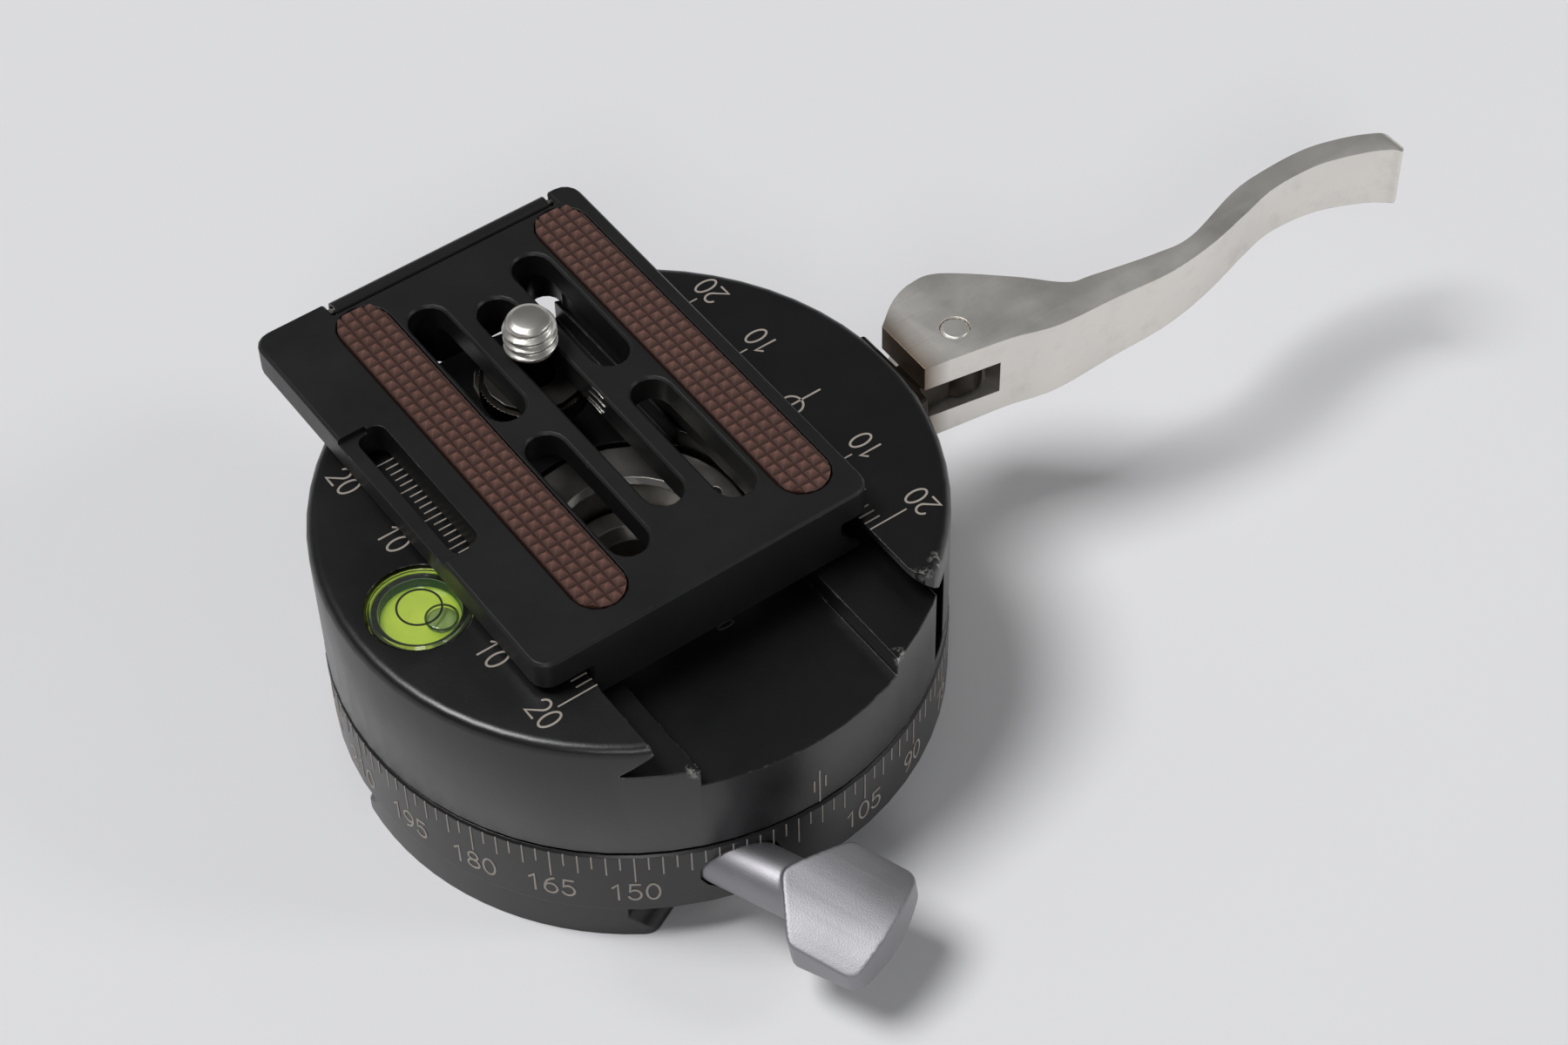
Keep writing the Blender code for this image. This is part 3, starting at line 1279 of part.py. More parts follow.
def knurled_outline():
    points = []
    for tooth in range(KNURL_COUNT):
        for part, radius in (
            (0, SCREW_HEAD_RADIUS), (KNURL_LAND_SHARE, SCREW_HEAD_RADIUS),
            (KNURL_FLANK_SHARE, SCREW_HEAD_RADIUS - KNURL_DEPTH),
        ):
            angle = 2 * math.pi * (tooth + part) / KNURL_COUNT
            points.append((radius * math.cos(angle), radius * math.sin(angle)))
    return points


def build_camera_screw(washer_axis, screw_axis, ring_axis, finish):
    turned(
        "screw_washer",
        [
            (SCREW_WASHER_RADIUS, SCREW_WASHER_TOP), (SCREW_WASHER_RADIUS, SCREW_WASHER_BOTTOM),
            (SCREW_NECK_RADIUS + GAP, SCREW_WASHER_BOTTOM), (SCREW_NECK_RADIUS + GAP, SCREW_WASHER_TOP),
        ],
        SMALL_SIDES, washer_axis, finish["steel"],
    )
    screw = extruded(
        "camera_screw", knurled_outline(), SCREW_HEAD_BOTTOM, SCREW_HEAD_TOP, screw_axis,
        finish["stainless"],
    )
    thread_bottom = PLATE_TOP + GAP
    thread_top = PLATE_TOP + SCREW_REACH
    shank = turned(
        "camera_screw_shank_tool",
        [
            (0, thread_top), (SCREW_RADIUS - SCREW_CHAMFER, thread_top),
            (SCREW_RADIUS, thread_top - SCREW_CHAMFER), (SCREW_RADIUS, thread_bottom),
            (SCREW_NECK_RADIUS, thread_bottom), (SCREW_NECK_RADIUS, SCREW_HEAD_TOP - GAP),
            (0, SCREW_HEAD_TOP - GAP),
        ],
        SMALL_SIDES, screw_axis,
    )
    lug = block(
        "camera_screw_lug_tool",
        (-SCREW_LUG_LENGTH / 2, -SCREW_LUG_WIDTH / 2, SCREW_LUG_BOTTOM),
        (SCREW_LUG_LENGTH / 2, SCREW_LUG_WIDTH / 2, SCREW_HEAD_BOTTOM + GAP), screw_axis,
    )
    bevel(lug, EDGE_BREAK)
    bake(lug)
    join(screw, shank, lug)
    ring_hole = rod(
        "ring_hole_tool", RING_WIRE + GAP, (-SCREW_LUG_LENGTH, 0, RING_Z),
        (SCREW_LUG_LENGTH, 0, RING_Z), TINY_SIDES, screw_axis,
    )
    cut(screw, ring_hole)
    bake(screw)
    bow_y = RING_REACH - RING_WIRE - RING_HALF_WIDTH
    bar = rounded(
        [(RING_HALF_WIDTH, 0), (RING_HALF_WIDTH, bow_y), (-RING_HALF_WIDTH, bow_y),
         (-RING_HALF_WIDTH, 0)],
        RING_CORNER, RING_CORNER_STEPS,
    )
    corner = RING_CORNER_STEPS + 1
    bow = arc((0, bow_y), RING_HALF_WIDTH, 0, math.pi, SMALL_SIDES // 2)
    loop = bar[:corner] + bow + bar[-corner:]
    ring = add_piece(
        "screw_ring", tube_mesh([(x, y, 0) for x, y in loop], RING_WIRE, True, 2), ring_axis,
        finish["stainless"],
    )
    bake(ring)


def make_finishes():
    return {
        "anodised": add_material("black_anodised", (0.012, 0.012, 0.013), 0.38, 0.6),
        "plate_black": add_material("plate_black", (0.016, 0.016, 0.016), 0.5, 0.4),
        "stainless": add_material("brushed_stainless", (0.58, 0.56, 0.53), 0.32, 1.0),
        "steel": add_material("bright_steel", (0.62, 0.61, 0.58), 0.28, 1.0),
        "dark_steel": add_material("dark_steel", (0.16, 0.14, 0.13), 0.45, 1.0),
        "blasted": add_material("blasted_aluminium", (0.36, 0.37, 0.41), 0.42, 1.0),
        "brass": add_material("brake_brass", (0.6, 0.45, 0.2), 0.35, 1.0),
        "plastic": add_material("bearing_plastic", (0.75, 0.73, 0.68), 0.5, 0.0),
        "rubber": add_material("brown_rubber", (0.115, 0.05, 0.033), 0.7, 0.0),
        "level_green": add_material("level_green", (0.4, 0.55, 0.04), 0.15, 0.0),
        "clear": add_material("clear_acrylic", (0.85, 0.95, 0.6), 0.05, 0.0, alpha=0.3),
    }


def main():
    global parts, cutters
    clear_scene()
    parts = add_collection("panning_clamp")
    cutters = add_collection("cutters")
    finish = make_finishes()
    base_axis = add_axis("base_axis")
    turntable_axis = add_axis("turntable_axis")
    jaw_axis = add_axis("jaw_axis")
    lever_axis = add_axis("lever_axis", (PIVOT_X, 0, 0))
    brake_axis = lock_axis("brake_axis")
    knob_axis = lock_axis("knob_axis")
    plate_axis = add_axis("plate_axis")
    stop_axis = add_axis("stop_axis", (0, STOP_HINGE_Y, STOP_HINGE_Z))
    washer_axis = add_axis("screw_carriage_axis", (SCREW_X, SCREW_Y, 0))
    screw_axis = add_axis("camera_screw_axis", (SCREW_X, SCREW_Y, 0))
    ring_axis = add_axis("screw_ring_axis", (SCREW_X, SCREW_Y, RING_Z))

    disc = build_base(base_axis, finish)
    cut_lock_bore(disc)
    build_pan_bearing(base_axis, finish)
    build_brake(brake_axis, base_axis, finish)
    build_knob(knob_axis, finish)
    build_clamp_body(turntable_axis, finish)
    build_guides_and_springs(turntable_axis, finish)
    build_drawbar(turntable_axis, finish)
    build_level(turntable_axis, finish)
    build_jaw(jaw_axis, finish)
    build_lever(lever_axis, finish)
    build_plate(plate_axis, finish)
    build_stop(stop_axis, finish)
    build_camera_screw(washer_axis, screw_axis, ring_axis, finish)


main()
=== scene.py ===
"""Looks of a panning clamp with a cam lever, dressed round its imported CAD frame.

Sizes are written in millimetres and multiplied by MM. X runs across the jaws towards the lever,
Y along the dovetail channel and Z up from the foot of the base.
"""
import contextlib
import functools
from math import ceil, copysign, cos, pi, radians, sin, sqrt, tan

import bmesh
import bpy
from mathutils import Matrix, Vector


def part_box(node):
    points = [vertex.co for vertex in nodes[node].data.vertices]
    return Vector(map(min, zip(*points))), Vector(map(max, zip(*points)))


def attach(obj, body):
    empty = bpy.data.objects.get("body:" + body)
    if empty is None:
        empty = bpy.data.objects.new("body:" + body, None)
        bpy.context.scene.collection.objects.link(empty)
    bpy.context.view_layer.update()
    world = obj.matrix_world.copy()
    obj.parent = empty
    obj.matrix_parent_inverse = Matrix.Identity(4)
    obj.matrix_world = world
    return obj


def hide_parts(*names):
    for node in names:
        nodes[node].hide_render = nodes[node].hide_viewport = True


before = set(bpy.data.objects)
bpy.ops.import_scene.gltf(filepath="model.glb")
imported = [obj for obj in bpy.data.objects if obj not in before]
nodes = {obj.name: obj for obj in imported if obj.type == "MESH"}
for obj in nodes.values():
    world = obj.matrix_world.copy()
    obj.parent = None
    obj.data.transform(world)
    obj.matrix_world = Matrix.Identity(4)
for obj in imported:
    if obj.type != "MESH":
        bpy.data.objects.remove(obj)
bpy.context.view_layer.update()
MM = 0.001

# ---------------- Camera, table and light ----------------
# A pale table top in soft daylight, seen from above the near left side. The light is plain:
# one broad lamp high on the left, two weaker ones in front and on the right, and a dim room.

CAMERA_PLACE = Vector((-129.634658, -216.644078, 322.671135)) * MM
CAMERA_RIGHT = Vector((0.81006499, -0.58610017, -0.01677192))
CAMERA_DOWN = Vector((-0.45411363, -0.60903444, -0.65027522))
CAMERA_FORWARD = Vector((0.37091174, 0.53438155, -0.75951356))
CAMERA_LENS = 80.015
CAMERA_SENSOR = 36
CAMERA_NEAR, CAMERA_FAR = 0.01, 20
TABLE_RADIUS = 2.5
TABLE_FLAT = 0.8
TABLE_RISE = 0.5
TABLE_SIDES = 96
LAMPS = (
    # name, direction to the lamp, strength, angle across in degrees
    ("broad_lamp", (-0.36, 0.2, 0.9), 2.3, 24),
    ("front_lamp", (-0.45, -0.62, 0.62), 0.4, 16),
    ("right_lamp", (0.62, -0.5, 0.55), 0.35, 12),
)
ROOM_LIGHT = 0.13
ROOM_COLOUR = (0.97, 0.985, 1.0, 1)
QUARTER_TURN = [radians(10 * step) for step in range(1, 10)]


def rgb(red, green, blue):
    """A colour as it looks on a screen, 0 to 255, in the linear values that shaders take."""
    def linear(value):
        share = value / 255
        return share / 12.92 if share <= 0.04045 else ((share + 0.055) / 1.055) ** 2.4

    return (linear(red), linear(green), linear(blue), 1.0)


def put(tree, kind, inputs=(), **settings):
    """Adds a node. An input is named or numbered, and is a value or the socket that feeds it."""
    node = tree.nodes.new(kind)
    for name, value in settings.items():
        setattr(node, name, value)
    for key, value in dict(inputs).items():
        if isinstance(value, bpy.types.NodeSocket):
            tree.links.new(value, node.inputs[key])
        else:
            node.inputs[key].default_value = value
    return node


def mix(tree, share, first, second):
    """A colour that goes from the first to the second as share goes from 0 to 1."""
    return put(tree, "ShaderNodeMix", {"Factor": share, "A": first, "B": second},
               data_type="RGBA").outputs[2]


def start_finish(name, **sockets):
    """A new material, with plain values on its own shader's sockets."""
    material = bpy.data.materials.new(name)
    material.use_nodes = True
    tree = material.node_tree
    shader = tree.nodes["Principled BSDF"]
    for socket, value in sockets.items():
        shader.inputs[socket.replace("_", " ")].default_value = value
    return material, tree, shader


def object_place(tree):
    return put(tree, "ShaderNodeTexCoord").outputs["Object"]


def feed(shader, socket, value):
    shader.id_data.links.new(value, shader.inputs[socket])


def noise(tree, where, scale, detail, rough=0.5):
    return put(tree, "ShaderNodeTexNoise", {
        "Vector": where, "Scale": scale, "Detail": detail, "Roughness": rough,
    }).outputs["Fac"]


def closed_mesh(build, name):
    """Closes a bmesh into a mesh, its faces turned outwards."""
    bmesh.ops.recalc_face_normals(build, faces=build.faces)
    mesh = bpy.data.meshes.new(name)
    build.to_mesh(mesh)
    build.free()
    return mesh


def circle(radius, sides, centre=(0, 0)):
    return [(centre[0] + radius * cos(2 * pi * i / sides),
             centre[1] + radius * sin(2 * pi * i / sides)) for i in range(sides)]


def bridge(build, rings):
    """Joins each ring of corners to the next. A ring of one is a point."""
    for low, high in zip(rings, rings[1:]):
        for i in range(max(len(low), len(high))):
            corners = [low[i % len(low)], low[(i + 1) % len(low)],
                       high[(i + 1) % len(high)], high[i % len(high)]]
            build.faces.new(list(dict.fromkeys(corners)))


def turned(profile, sides, centre=(0, 0)):
    """A bmesh turned about the vertical through centre, from (radius, z) points."""
    build = bmesh.new()
    rings = []
    for radius, z in profile:
        around = circle(radius, sides, centre) if radius else [centre]
        rings.append([build.verts.new((x, y, z)) for x, y in around])
    bridge(build, rings)
    return build


def paint(mesh, material):
    mesh.materials.clear()
    mesh.materials.append(material)


def add_object(name, data, material=None):
    made = bpy.data.objects.new(name, data)
    bpy.context.scene.collection.objects.link(made)
    if material:
        paint(data, material)
    return made


scene = bpy.context.scene
scene.view_settings.view_transform = "Standard"
camera_data = bpy.data.cameras.new("camera")
camera_data.lens = CAMERA_LENS
camera_data.sensor_width = CAMERA_SENSOR
camera_data.clip_start = CAMERA_NEAR
camera_data.clip_end = CAMERA_FAR
camera = add_object("camera", camera_data)
turn = Matrix((CAMERA_RIGHT, -CAMERA_DOWN, -CAMERA_FORWARD)).transposed()
camera.matrix_world = Matrix.Translation(CAMERA_PLACE) @ turn.to_4x4()
scene.camera = camera

for lamp_name, towards, strength, across in LAMPS:
    lamp_data = bpy.data.lights.new(lamp_name, "SUN")
    lamp_data.energy = strength
    lamp_data.angle = radians(across)
    lamp = add_object(lamp_name, lamp_data)
    lamp.rotation_euler = Vector(towards).to_track_quat("Z", "Y").to_euler()

room = bpy.data.worlds.new("room")
room.use_nodes = True
background = room.node_tree.nodes["Background"].inputs
background["Color"].default_value = ROOM_COLOUR
background["Strength"].default_value = ROOM_LIGHT
scene.world = room

table_profile = [(0, 0), (TABLE_RADIUS * TABLE_FLAT, 0)]
table_profile += [
    (TABLE_RADIUS * (TABLE_FLAT + (1 - TABLE_FLAT) * sin(a)), TABLE_RISE * (1 - cos(a)))
    for a in QUARTER_TURN
]
table_finish, tree, shader = start_finish("pale_table", Roughness=0.55)
smudges = noise(tree, object_place(tree), 9.0, 3.0)
tone = mix(tree, smudges, rgb(223, 223, 225), rgb(229, 229, 231))
feed(shader, "Base Color", tone)
table_shape = closed_mesh(turned(table_profile, TABLE_SIDES), "table_top")
table = add_object("table_top", table_shape, table_finish)
table.data.shade_smooth()

# ---------------- Base disc ----------------
# Aluminium, turned and then anodised satin black, with a dovetail foot rail milled across
# its underside. Its degree scale is engraved and filled pale; the base stays still on the tripod.

SHARP_ANGLE = 28
WELD_DISTANCE = 0.001 * MM
BASE_RADIUS = 35.6 * MM
MARK_LIFT = 0.03 * MM
MARK_SINK = 0.12 * MM
SCALE_LABEL_STEP = 15
SCALE_BLANKS = (120, 135)
SCALE_ZERO = 25.2177
DEGREE_TICKS = {
    "Count": 144, "Radius": BASE_RADIUS - MARK_SINK / 2 + MARK_LIFT, "Top": 15.2 * MM,
    "Start": radians(SCALE_ZERO), "Long": 4.3 * MM, "Middle": 3.1 * MM, "Short": 2.1 * MM,
    "Width": 0.16 * MM, "Depth": MARK_SINK,
}
NUMBER_MIDDLE = 8.95 * MM
NUMBER_SHIFT = 0.16 * MM
DEGREE_NUMBER = {"width": 1.45 * MM, "height": 2.8 * MM, "pitch": 2.0 * MM, "stroke": 0.25 * MM}
MITRE_LIMIT = 0.6
ROUND_END = (35, 65, 85)
EDGE_LIKENESS = (0.97, 0.8)
PATCH_SOFTNESS = 0.12
SPECK_SCALE = 1400.0
SPECK_RANGE = (0.53, 0.6)
SCUFF_CORE = 0.2
GRAIN_RANGE = (0.3, 0.7)


def open_group(name, kind, inputs, outputs):
    """A node group with named sockets. Its inputs are (name, socket type, value)."""
    tree = bpy.data.node_groups.new(name, kind)
    for socket_name, socket_type, value in inputs:
        socket = tree.interface.new_socket(socket_name, in_out="INPUT", socket_type=socket_type)
        if value is not None:
            socket.default_value = value
    for socket_name, socket_type in outputs:
        tree.interface.new_socket(socket_name, in_out="OUTPUT", socket_type=socket_type)
    ends = tree.nodes.new("NodeGroupInput"), tree.nodes.new("NodeGroupOutput")
    return tree, ends[0].outputs, ends[1].inputs


def ranged(tree, value, low, high, to_low=0.0, to_high=1.0):
    """A value carried from the range low to high to another one, and held within that."""
    return put(tree, "ShaderNodeMapRange", {
        "Value": value, "From Min": low, "From Max": high, "To Min": to_low, "To Max": to_high,
    }).outputs[0]


def math_node(tree, operation, a, b=0.0, c=0.0, **settings):
    return put(tree, "ShaderNodeMath", {0: a, 1: b, 2: c}, operation=operation,
               **settings).outputs[0]


def vector_node(tree, operation, a, b=(0, 0, 0)):
    """A step in vectors. Its outputs are Vector and, where it measures, Value."""
    return put(tree, "ShaderNodeVectorMath", {0: a, 1: b}, operation=operation).outputs


FLOAT, VECTOR, SHAPE, FINISH, WHOLE = (
    "NodeSocket" + kind for kind in ("Float", "Vector", "Geometry", "Material", "Int"))

# Worn edges: where a rounded normal leaves the flat one, broken up by patches of handling, and
# where a scuff adds fine specks
wear_group, given, result = open_group(
    "worn_edges", "ShaderNodeTree",
    [("Reach", FLOAT, 0.0002), ("Patch Scale", FLOAT, 300.0), ("Cover", FLOAT, 0.5),
     ("Scuff", FLOAT, 0.0)],
    [("Wear", FLOAT), ("Normal", VECTOR)],
)
eased = put(wear_group, "ShaderNodeBevel", {"Radius": given["Reach"]}, samples=6)
flat = put(wear_group, "ShaderNodeNewGeometry")
likeness = vector_node(wear_group, "DOT_PRODUCT", eased.outputs["Normal"],
                       flat.outputs["Normal"])["Value"]
edge = ranged(wear_group, likeness, *EDGE_LIKENESS)
place = object_place(wear_group)
bare = math_node(wear_group, "SUBTRACT", 1.0, given["Cover"])
kept = math_node(wear_group, "ADD", bare, PATCH_SOFTNESS)
patches = noise(wear_group, place, given["Patch Scale"], 4.0, 0.65)
patchy = ranged(wear_group, patches, bare, kept)
rubbed = ranged(wear_group, noise(wear_group, place, SPECK_SCALE, 5.0, 0.75), *SPECK_RANGE)
scuffed = math_node(wear_group, "MULTIPLY", rubbed, given["Scuff"])
wear = math_node(wear_group, "MULTIPLY_ADD", edge, patchy, scuffed, use_clamp=True)
wear_group.links.new(wear, result["Wear"])
wear_group.links.new(eased.outputs["Normal"], result["Normal"])

# Satin grain: the fine blasted texture under the anodising and the broad mottling of handling
grain_group, given, result = open_group(
    "satin_grain", "ShaderNodeTree",
    [("Fine Scale", FLOAT, 4000.0), ("Broad Scale", FLOAT, 90.0), ("Stretch", VECTOR, (1, 1, 1))],
    [("Fine", FLOAT), ("Broad", FLOAT)],
)
place = object_place(grain_group)
stretched = vector_node(grain_group, "MULTIPLY", place, given["Stretch"])["Vector"]
fine = noise(grain_group, stretched, given["Fine Scale"], 2.0)
broad = noise(grain_group, place, given["Broad Scale"], 5.0, 0.6)
grain_group.links.new(fine, result["Fine"])
grain_group.links.new(broad, result["Broad"])


def group_node(tree, group, inputs):
    return put(tree, "ShaderNodeGroup", inputs, node_tree=group).outputs


def bumpy(tree, shader, grain, height, **more):
    """Lets a finish's fine grain stand up by a height in millimetres."""
    relief = put(tree, "ShaderNodeBump",
                 {"Distance": height * MM, "Height": grain["Fine"], **more})
    feed(shader, "Normal", relief.outputs[0])


def metal_finish(name, coat, bare, roughness, spread, metallic, reach=0.00018, cover=0.45,
                 patch=300.0, fine=4000.0, stretch=(1, 1, 1), bump=0.04, tint=0.12, scuffs=(),
                 shade_below=None, **sockets):
    """A finished metal: its coat's colour, mottled, and the bare metal that shows on worn edges.

    A scuff is a place and a reach, in millimetres, where specks of the coat are rubbed through.
    Below the height that the last argument names, the coat takes that argument's darker colour, as
    painted shade on a part sunk in a hollow.
    """
    material, tree, shader = start_finish(name, **sockets)
    grain = group_node(tree, grain_group, {"Fine Scale": fine, "Stretch": stretch})
    here = object_place(tree)
    scuff = 0.0
    for spot, around in scuffs:
        away = vector_node(tree, "DISTANCE", here, tuple(v * MM for v in spot))["Value"]
        near = ranged(tree, away, around * MM, SCUFF_CORE * around * MM)
        scuff = math_node(tree, "MAXIMUM", scuff, near)
    worn = group_node(tree, wear_group, {
        "Reach": reach, "Patch Scale": patch, "Cover": cover, "Scuff": scuff,
    })
    darker, lighter = (tuple(value * way for value in rgb(*coat)[:3]) + (1.0,)
                       for way in (1 - tint, 1 + tint))
    mottled = mix(tree, grain["Broad"], darker, lighter)
    # Painted shade: below the given height the coat's colour gives way to a darker one
    if shade_below:
        rise = put(tree, "ShaderNodeSeparateXYZ", {"Vector": here}).outputs["Z"]
        above = ranged(tree, rise, (shade_below[0] - 0.4) * MM, shade_below[0] * MM)
        mottled = mix(tree, above, rgb(*shade_below[1]), mottled)
    colour = mix(tree, worn["Wear"], mottled, rgb(*bare))
    feed(shader, "Base Color", colour)
    rough = ranged(tree, grain["Broad"], *GRAIN_RANGE, roughness - spread,
                   roughness + spread)
    feed(shader, "Roughness", rough)
    if metallic == 0:
        feed(shader, "Metallic", worn["Wear"])
    else:
        shader.inputs["Metallic"].default_value = metallic
    bumpy(tree, shader, grain, bump, Normal=worn["Normal"])
    return material


def mottled_finish(name, first, second, broad, fine=4000.0, **sockets):
    """A finish whose colour wanders between two."""
    material, tree, shader = start_finish(name, **sockets)
    grain = group_node(tree, grain_group, {"Fine Scale": fine, "Broad Scale": broad})
    colour = mix(tree, grain["Broad"], rgb(*first), rgb(*second))
    feed(shader, "Base Color", colour)
    return material, tree, shader, grain


# Welding the loose triangles of a CAD node and smoothing all but its real edges
smooth_group, given, result = open_group(
    "weld_and_smooth", "GeometryNodeTree", [("Geometry", SHAPE, None)], [("Geometry", SHAPE)])
plain = put(smooth_group, "GeometryNodeRemoveAttribute",
            {"Geometry": given["Geometry"], "Name": "custom_normal"})
welded = put(smooth_group, "GeometryNodeMergeByDistance",
             {"Geometry": plain.outputs[0], "Distance": WELD_DISTANCE})
soft = put(smooth_group, "GeometryNodeSetShadeSmooth",
           {"Geometry": welded.outputs[0], "Shade Smooth": True}, domain="FACE")
fold = put(smooth_group, "GeometryNodeInputMeshEdgeAngle").outputs["Unsigned Angle"]
steep = put(smooth_group, "FunctionNodeCompare", {"A": fold, "B": radians(SHARP_ANGLE)},
            data_type="FLOAT", operation="GREATER_THAN")
crisp = put(smooth_group, "GeometryNodeSetShadeSmooth", {
    "Geometry": soft.outputs[0], "Selection": steep.outputs[0], "Shade Smooth": False,
}, domain="EDGE")
smooth_group.links.new(crisp.outputs[0], result["Geometry"])


def dress(material, *names):
    """Gives CAD nodes their finish and smooth shading; their shape stays as it is."""
    for name in names:
        node = nodes[name]
        paint(node.data, material)
        smoothing = node.modifiers.new("weld_and_smooth", "NODES")
        smoothing.node_group = smooth_group


def engrave(build, points, half, place, lift=MARK_LIFT, sink=MARK_SINK):
    """One filled engraved stroke: a flat band with round ends along points, set on a surface."""
    path = [Vector(point) for point in points]
    closed = (path[0] - path[-1]).length < half
    if closed:
        path.pop()
    rows = []
    count = len(path)
    legs = [(path[(i + 1) % count] - here).normalized() for i, here in enumerate(path)]
    for i, here in enumerate(path):
        arriving = legs[i - 1] if closed or i else legs[0]
        leaving = legs[i] if closed or i < count - 1 else arriving
        along = (arriving + leaving).normalized()
        across = Vector((-along.y, along.x))
        widen = 1 / max(MITRE_LIMIT, across.dot(Vector((-leaving.y, leaving.x))))
        rows.append((here, across * half * widen))
        if not closed and i in (0, count - 1):
            way = -1 if i == 0 else 1
            ends = [
                (here + along * way * half * sin(radians(a)),
                 across * half * cos(radians(a))) for a in ROUND_END
            ]
            rows = ends[::-1] + rows if i == 0 else rows + ends
    corners = []
    for middle, side in rows:
        left, right = middle + side, middle - side
        corners.append([build.verts.new(place(spot.x, spot.y, out)) for spot, out in (
            (left, lift), (right, lift), (right, -sink), (left, -sink))])
    bridge(build, corners + corners[:1] if closed else corners)
    if not closed:
        build.faces.new(corners[0])
        build.faces.new(corners[-1][::-1])


def bow(x, y, wide, high, first, last, steps=10):
    """Points on part of an oval, between two angles in degrees."""
    angles = [radians(first + (last - first) * i / steps) for i in range(steps + 1)]
    return [(x + wide * cos(angle), y + high * sin(angle)) for angle in angles]


SIX_BACK = [(0.0, 0.33), (0.06, 0.56), (0.24, 0.79), (0.52, 0.93), (0.8, 1.0)]
SIX_BOWL = bow(0.5, 0.31, 0.5, 0.31, 180, 540, 18)
# Each numeral's strokes in a box one wide and one high, as an engraving cutter draws them
NUMERALS = {
    "0": [bow(0.5, 0.5, 0.5, 0.5, 90, 450, 20)],
    "1": [[(0.2, 0.78), (0.62, 1.0), (0.62, 0.0)]],
    "2": [bow(0.5, 0.71, 0.47, 0.29, 165, -38) + [(0.0, 0.0), (1.0, 0.0)]],
    "3": [bow(0.47, 0.755, 0.44, 0.245, 155, -90), bow(0.47, 0.26, 0.5, 0.26, 90, -158)],
    "4": [[(0.72, 0.0), (0.72, 1.0), (0.0, 0.3), (1.0, 0.3)]],
    "5": [[(0.9, 1.0), (0.18, 1.0)] + bow(0.47, 0.32, 0.5, 0.32, 135, -155)],
    "6": [SIX_BACK, SIX_BOWL],
    "7": [[(0.0, 1.0), (1.0, 1.0), (0.35, 0.0)]],
    "8": [bow(0.5, 0.755, 0.41, 0.245, 90, 450, 18), bow(0.5, 0.255, 0.5, 0.255, 90, 450, 18)],
    "9": [[(1 - x, 1 - y) for x, y in SIX_BACK], [(1 - x, 1 - y) for x, y in SIX_BOWL]],
}


def engrave_number(build, text, place, width, height, pitch, stroke):
    """A number centred on place's origin."""
    left = -(pitch * (len(text) - 1) + width) / 2
    for i, numeral in enumerate(text):
        for points in NUMERALS[numeral]:
            engrave(build, [(left + pitch * i + x * width, (y - 0.5) * height) for x, y in points],
                    stroke / 2, place)


@contextlib.contextmanager
def opened(mesh):
    """A mesh's shape as a bmesh, written back at the end."""
    build = bmesh.new()
    build.from_mesh(mesh)
    yield build
    build.to_mesh(mesh)
    build.free()


def shade_by_angle(mesh, degrees):
    """Smooth shading, with an edge kept sharp where its faces meet at more than this angle."""
    limit = radians(degrees)
    with opened(mesh) as build:
        for face in build.faces:
            face.smooth = True
        for edge in build.edges:
            edge.smooth = len(edge.link_faces) == 2 and edge.calc_face_angle(0) < limit


def piece_from(build, name, material, body, angle=SHARP_ANGLE):
    """Closes a bmesh into a finished piece that rides on a body."""
    mesh = closed_mesh(build, name)
    shade_by_angle(mesh, angle)
    made = add_object(name, mesh, material)
    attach(made, body)
    return made


BARE_ALUMINIUM = (178, 176, 170)
CORNER_SCUFFS = (
    # place and reach, in millimetres, at the corners where a plate is slid in
    ((19.2, -29.8, 34), 2.6), ((21.8, -28, 34), 1.6), ((-17.4, -31, 34), 1.5),
    ((-13.6, -32.7, 29.6), 1.6), ((12.2, -33.2, 29.6), 1.5),
)
anodised = metal_finish("black_anodised", (12, 12, 13), BARE_ALUMINIUM, 0.32, 0.04, 0,
                        cover=0.46, patch=520.0, bump=0.01, Specular_IOR_Level=0.55,
                        scuffs=CORNER_SCUFFS)
dress(anodised, "base_disc")
mark_fill, *parts = mottled_finish("mark_fill", (136, 128, 119), (170, 162, 153), 500.0, 2500.0,
                                   Roughness=0.6)
bumpy(*parts, 0.01)


def tick_length(calc, index, given, long_step, middle_step):
    """Short, and longer where the index is a whole number of steps."""
    length = given["Short"]
    for step, longer, shorter in ((middle_step, "Middle", "Short"), (long_step, "Long", "Middle")):
        on_step = calc("LESS_THAN", calc("MODULO", index, float(step)), 0.5)
        more = calc("SUBTRACT", given[longer], given[shorter])
        length = calc("ADD", length, calc("MULTIPLY", on_step, more))
    return length


def made_mesh(shape):
    """What an object's live modifiers make of it, as a new mesh."""
    graph = bpy.context.evaluated_depsgraph_get()
    return bpy.data.meshes.new_from_object(shape.evaluated_get(graph), depsgraph=graph)


def make_by_nodes(name, group, values, material, body):
    """Runs a node tree once and keeps its result as a plain mesh that rides on a body."""
    seed = add_object(name + "_seed", bpy.data.meshes.new(name + "_seed"))
    modifier = seed.modifiers.new("nodes", "NODES")
    modifier.node_group = group
    identifiers = {
        item.name: item.identifier for item in group.interface.items_tree
        if item.item_type == "SOCKET" and item.in_out == "INPUT"
    }
    for key, value in {**values, "Material": material}.items():
        modifier[identifiers[key]] = value
    mesh = made_mesh(seed)
    bpy.data.objects.remove(seed)
    mesh.name = name
    made = add_object(name, mesh, material)
    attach(made, body)


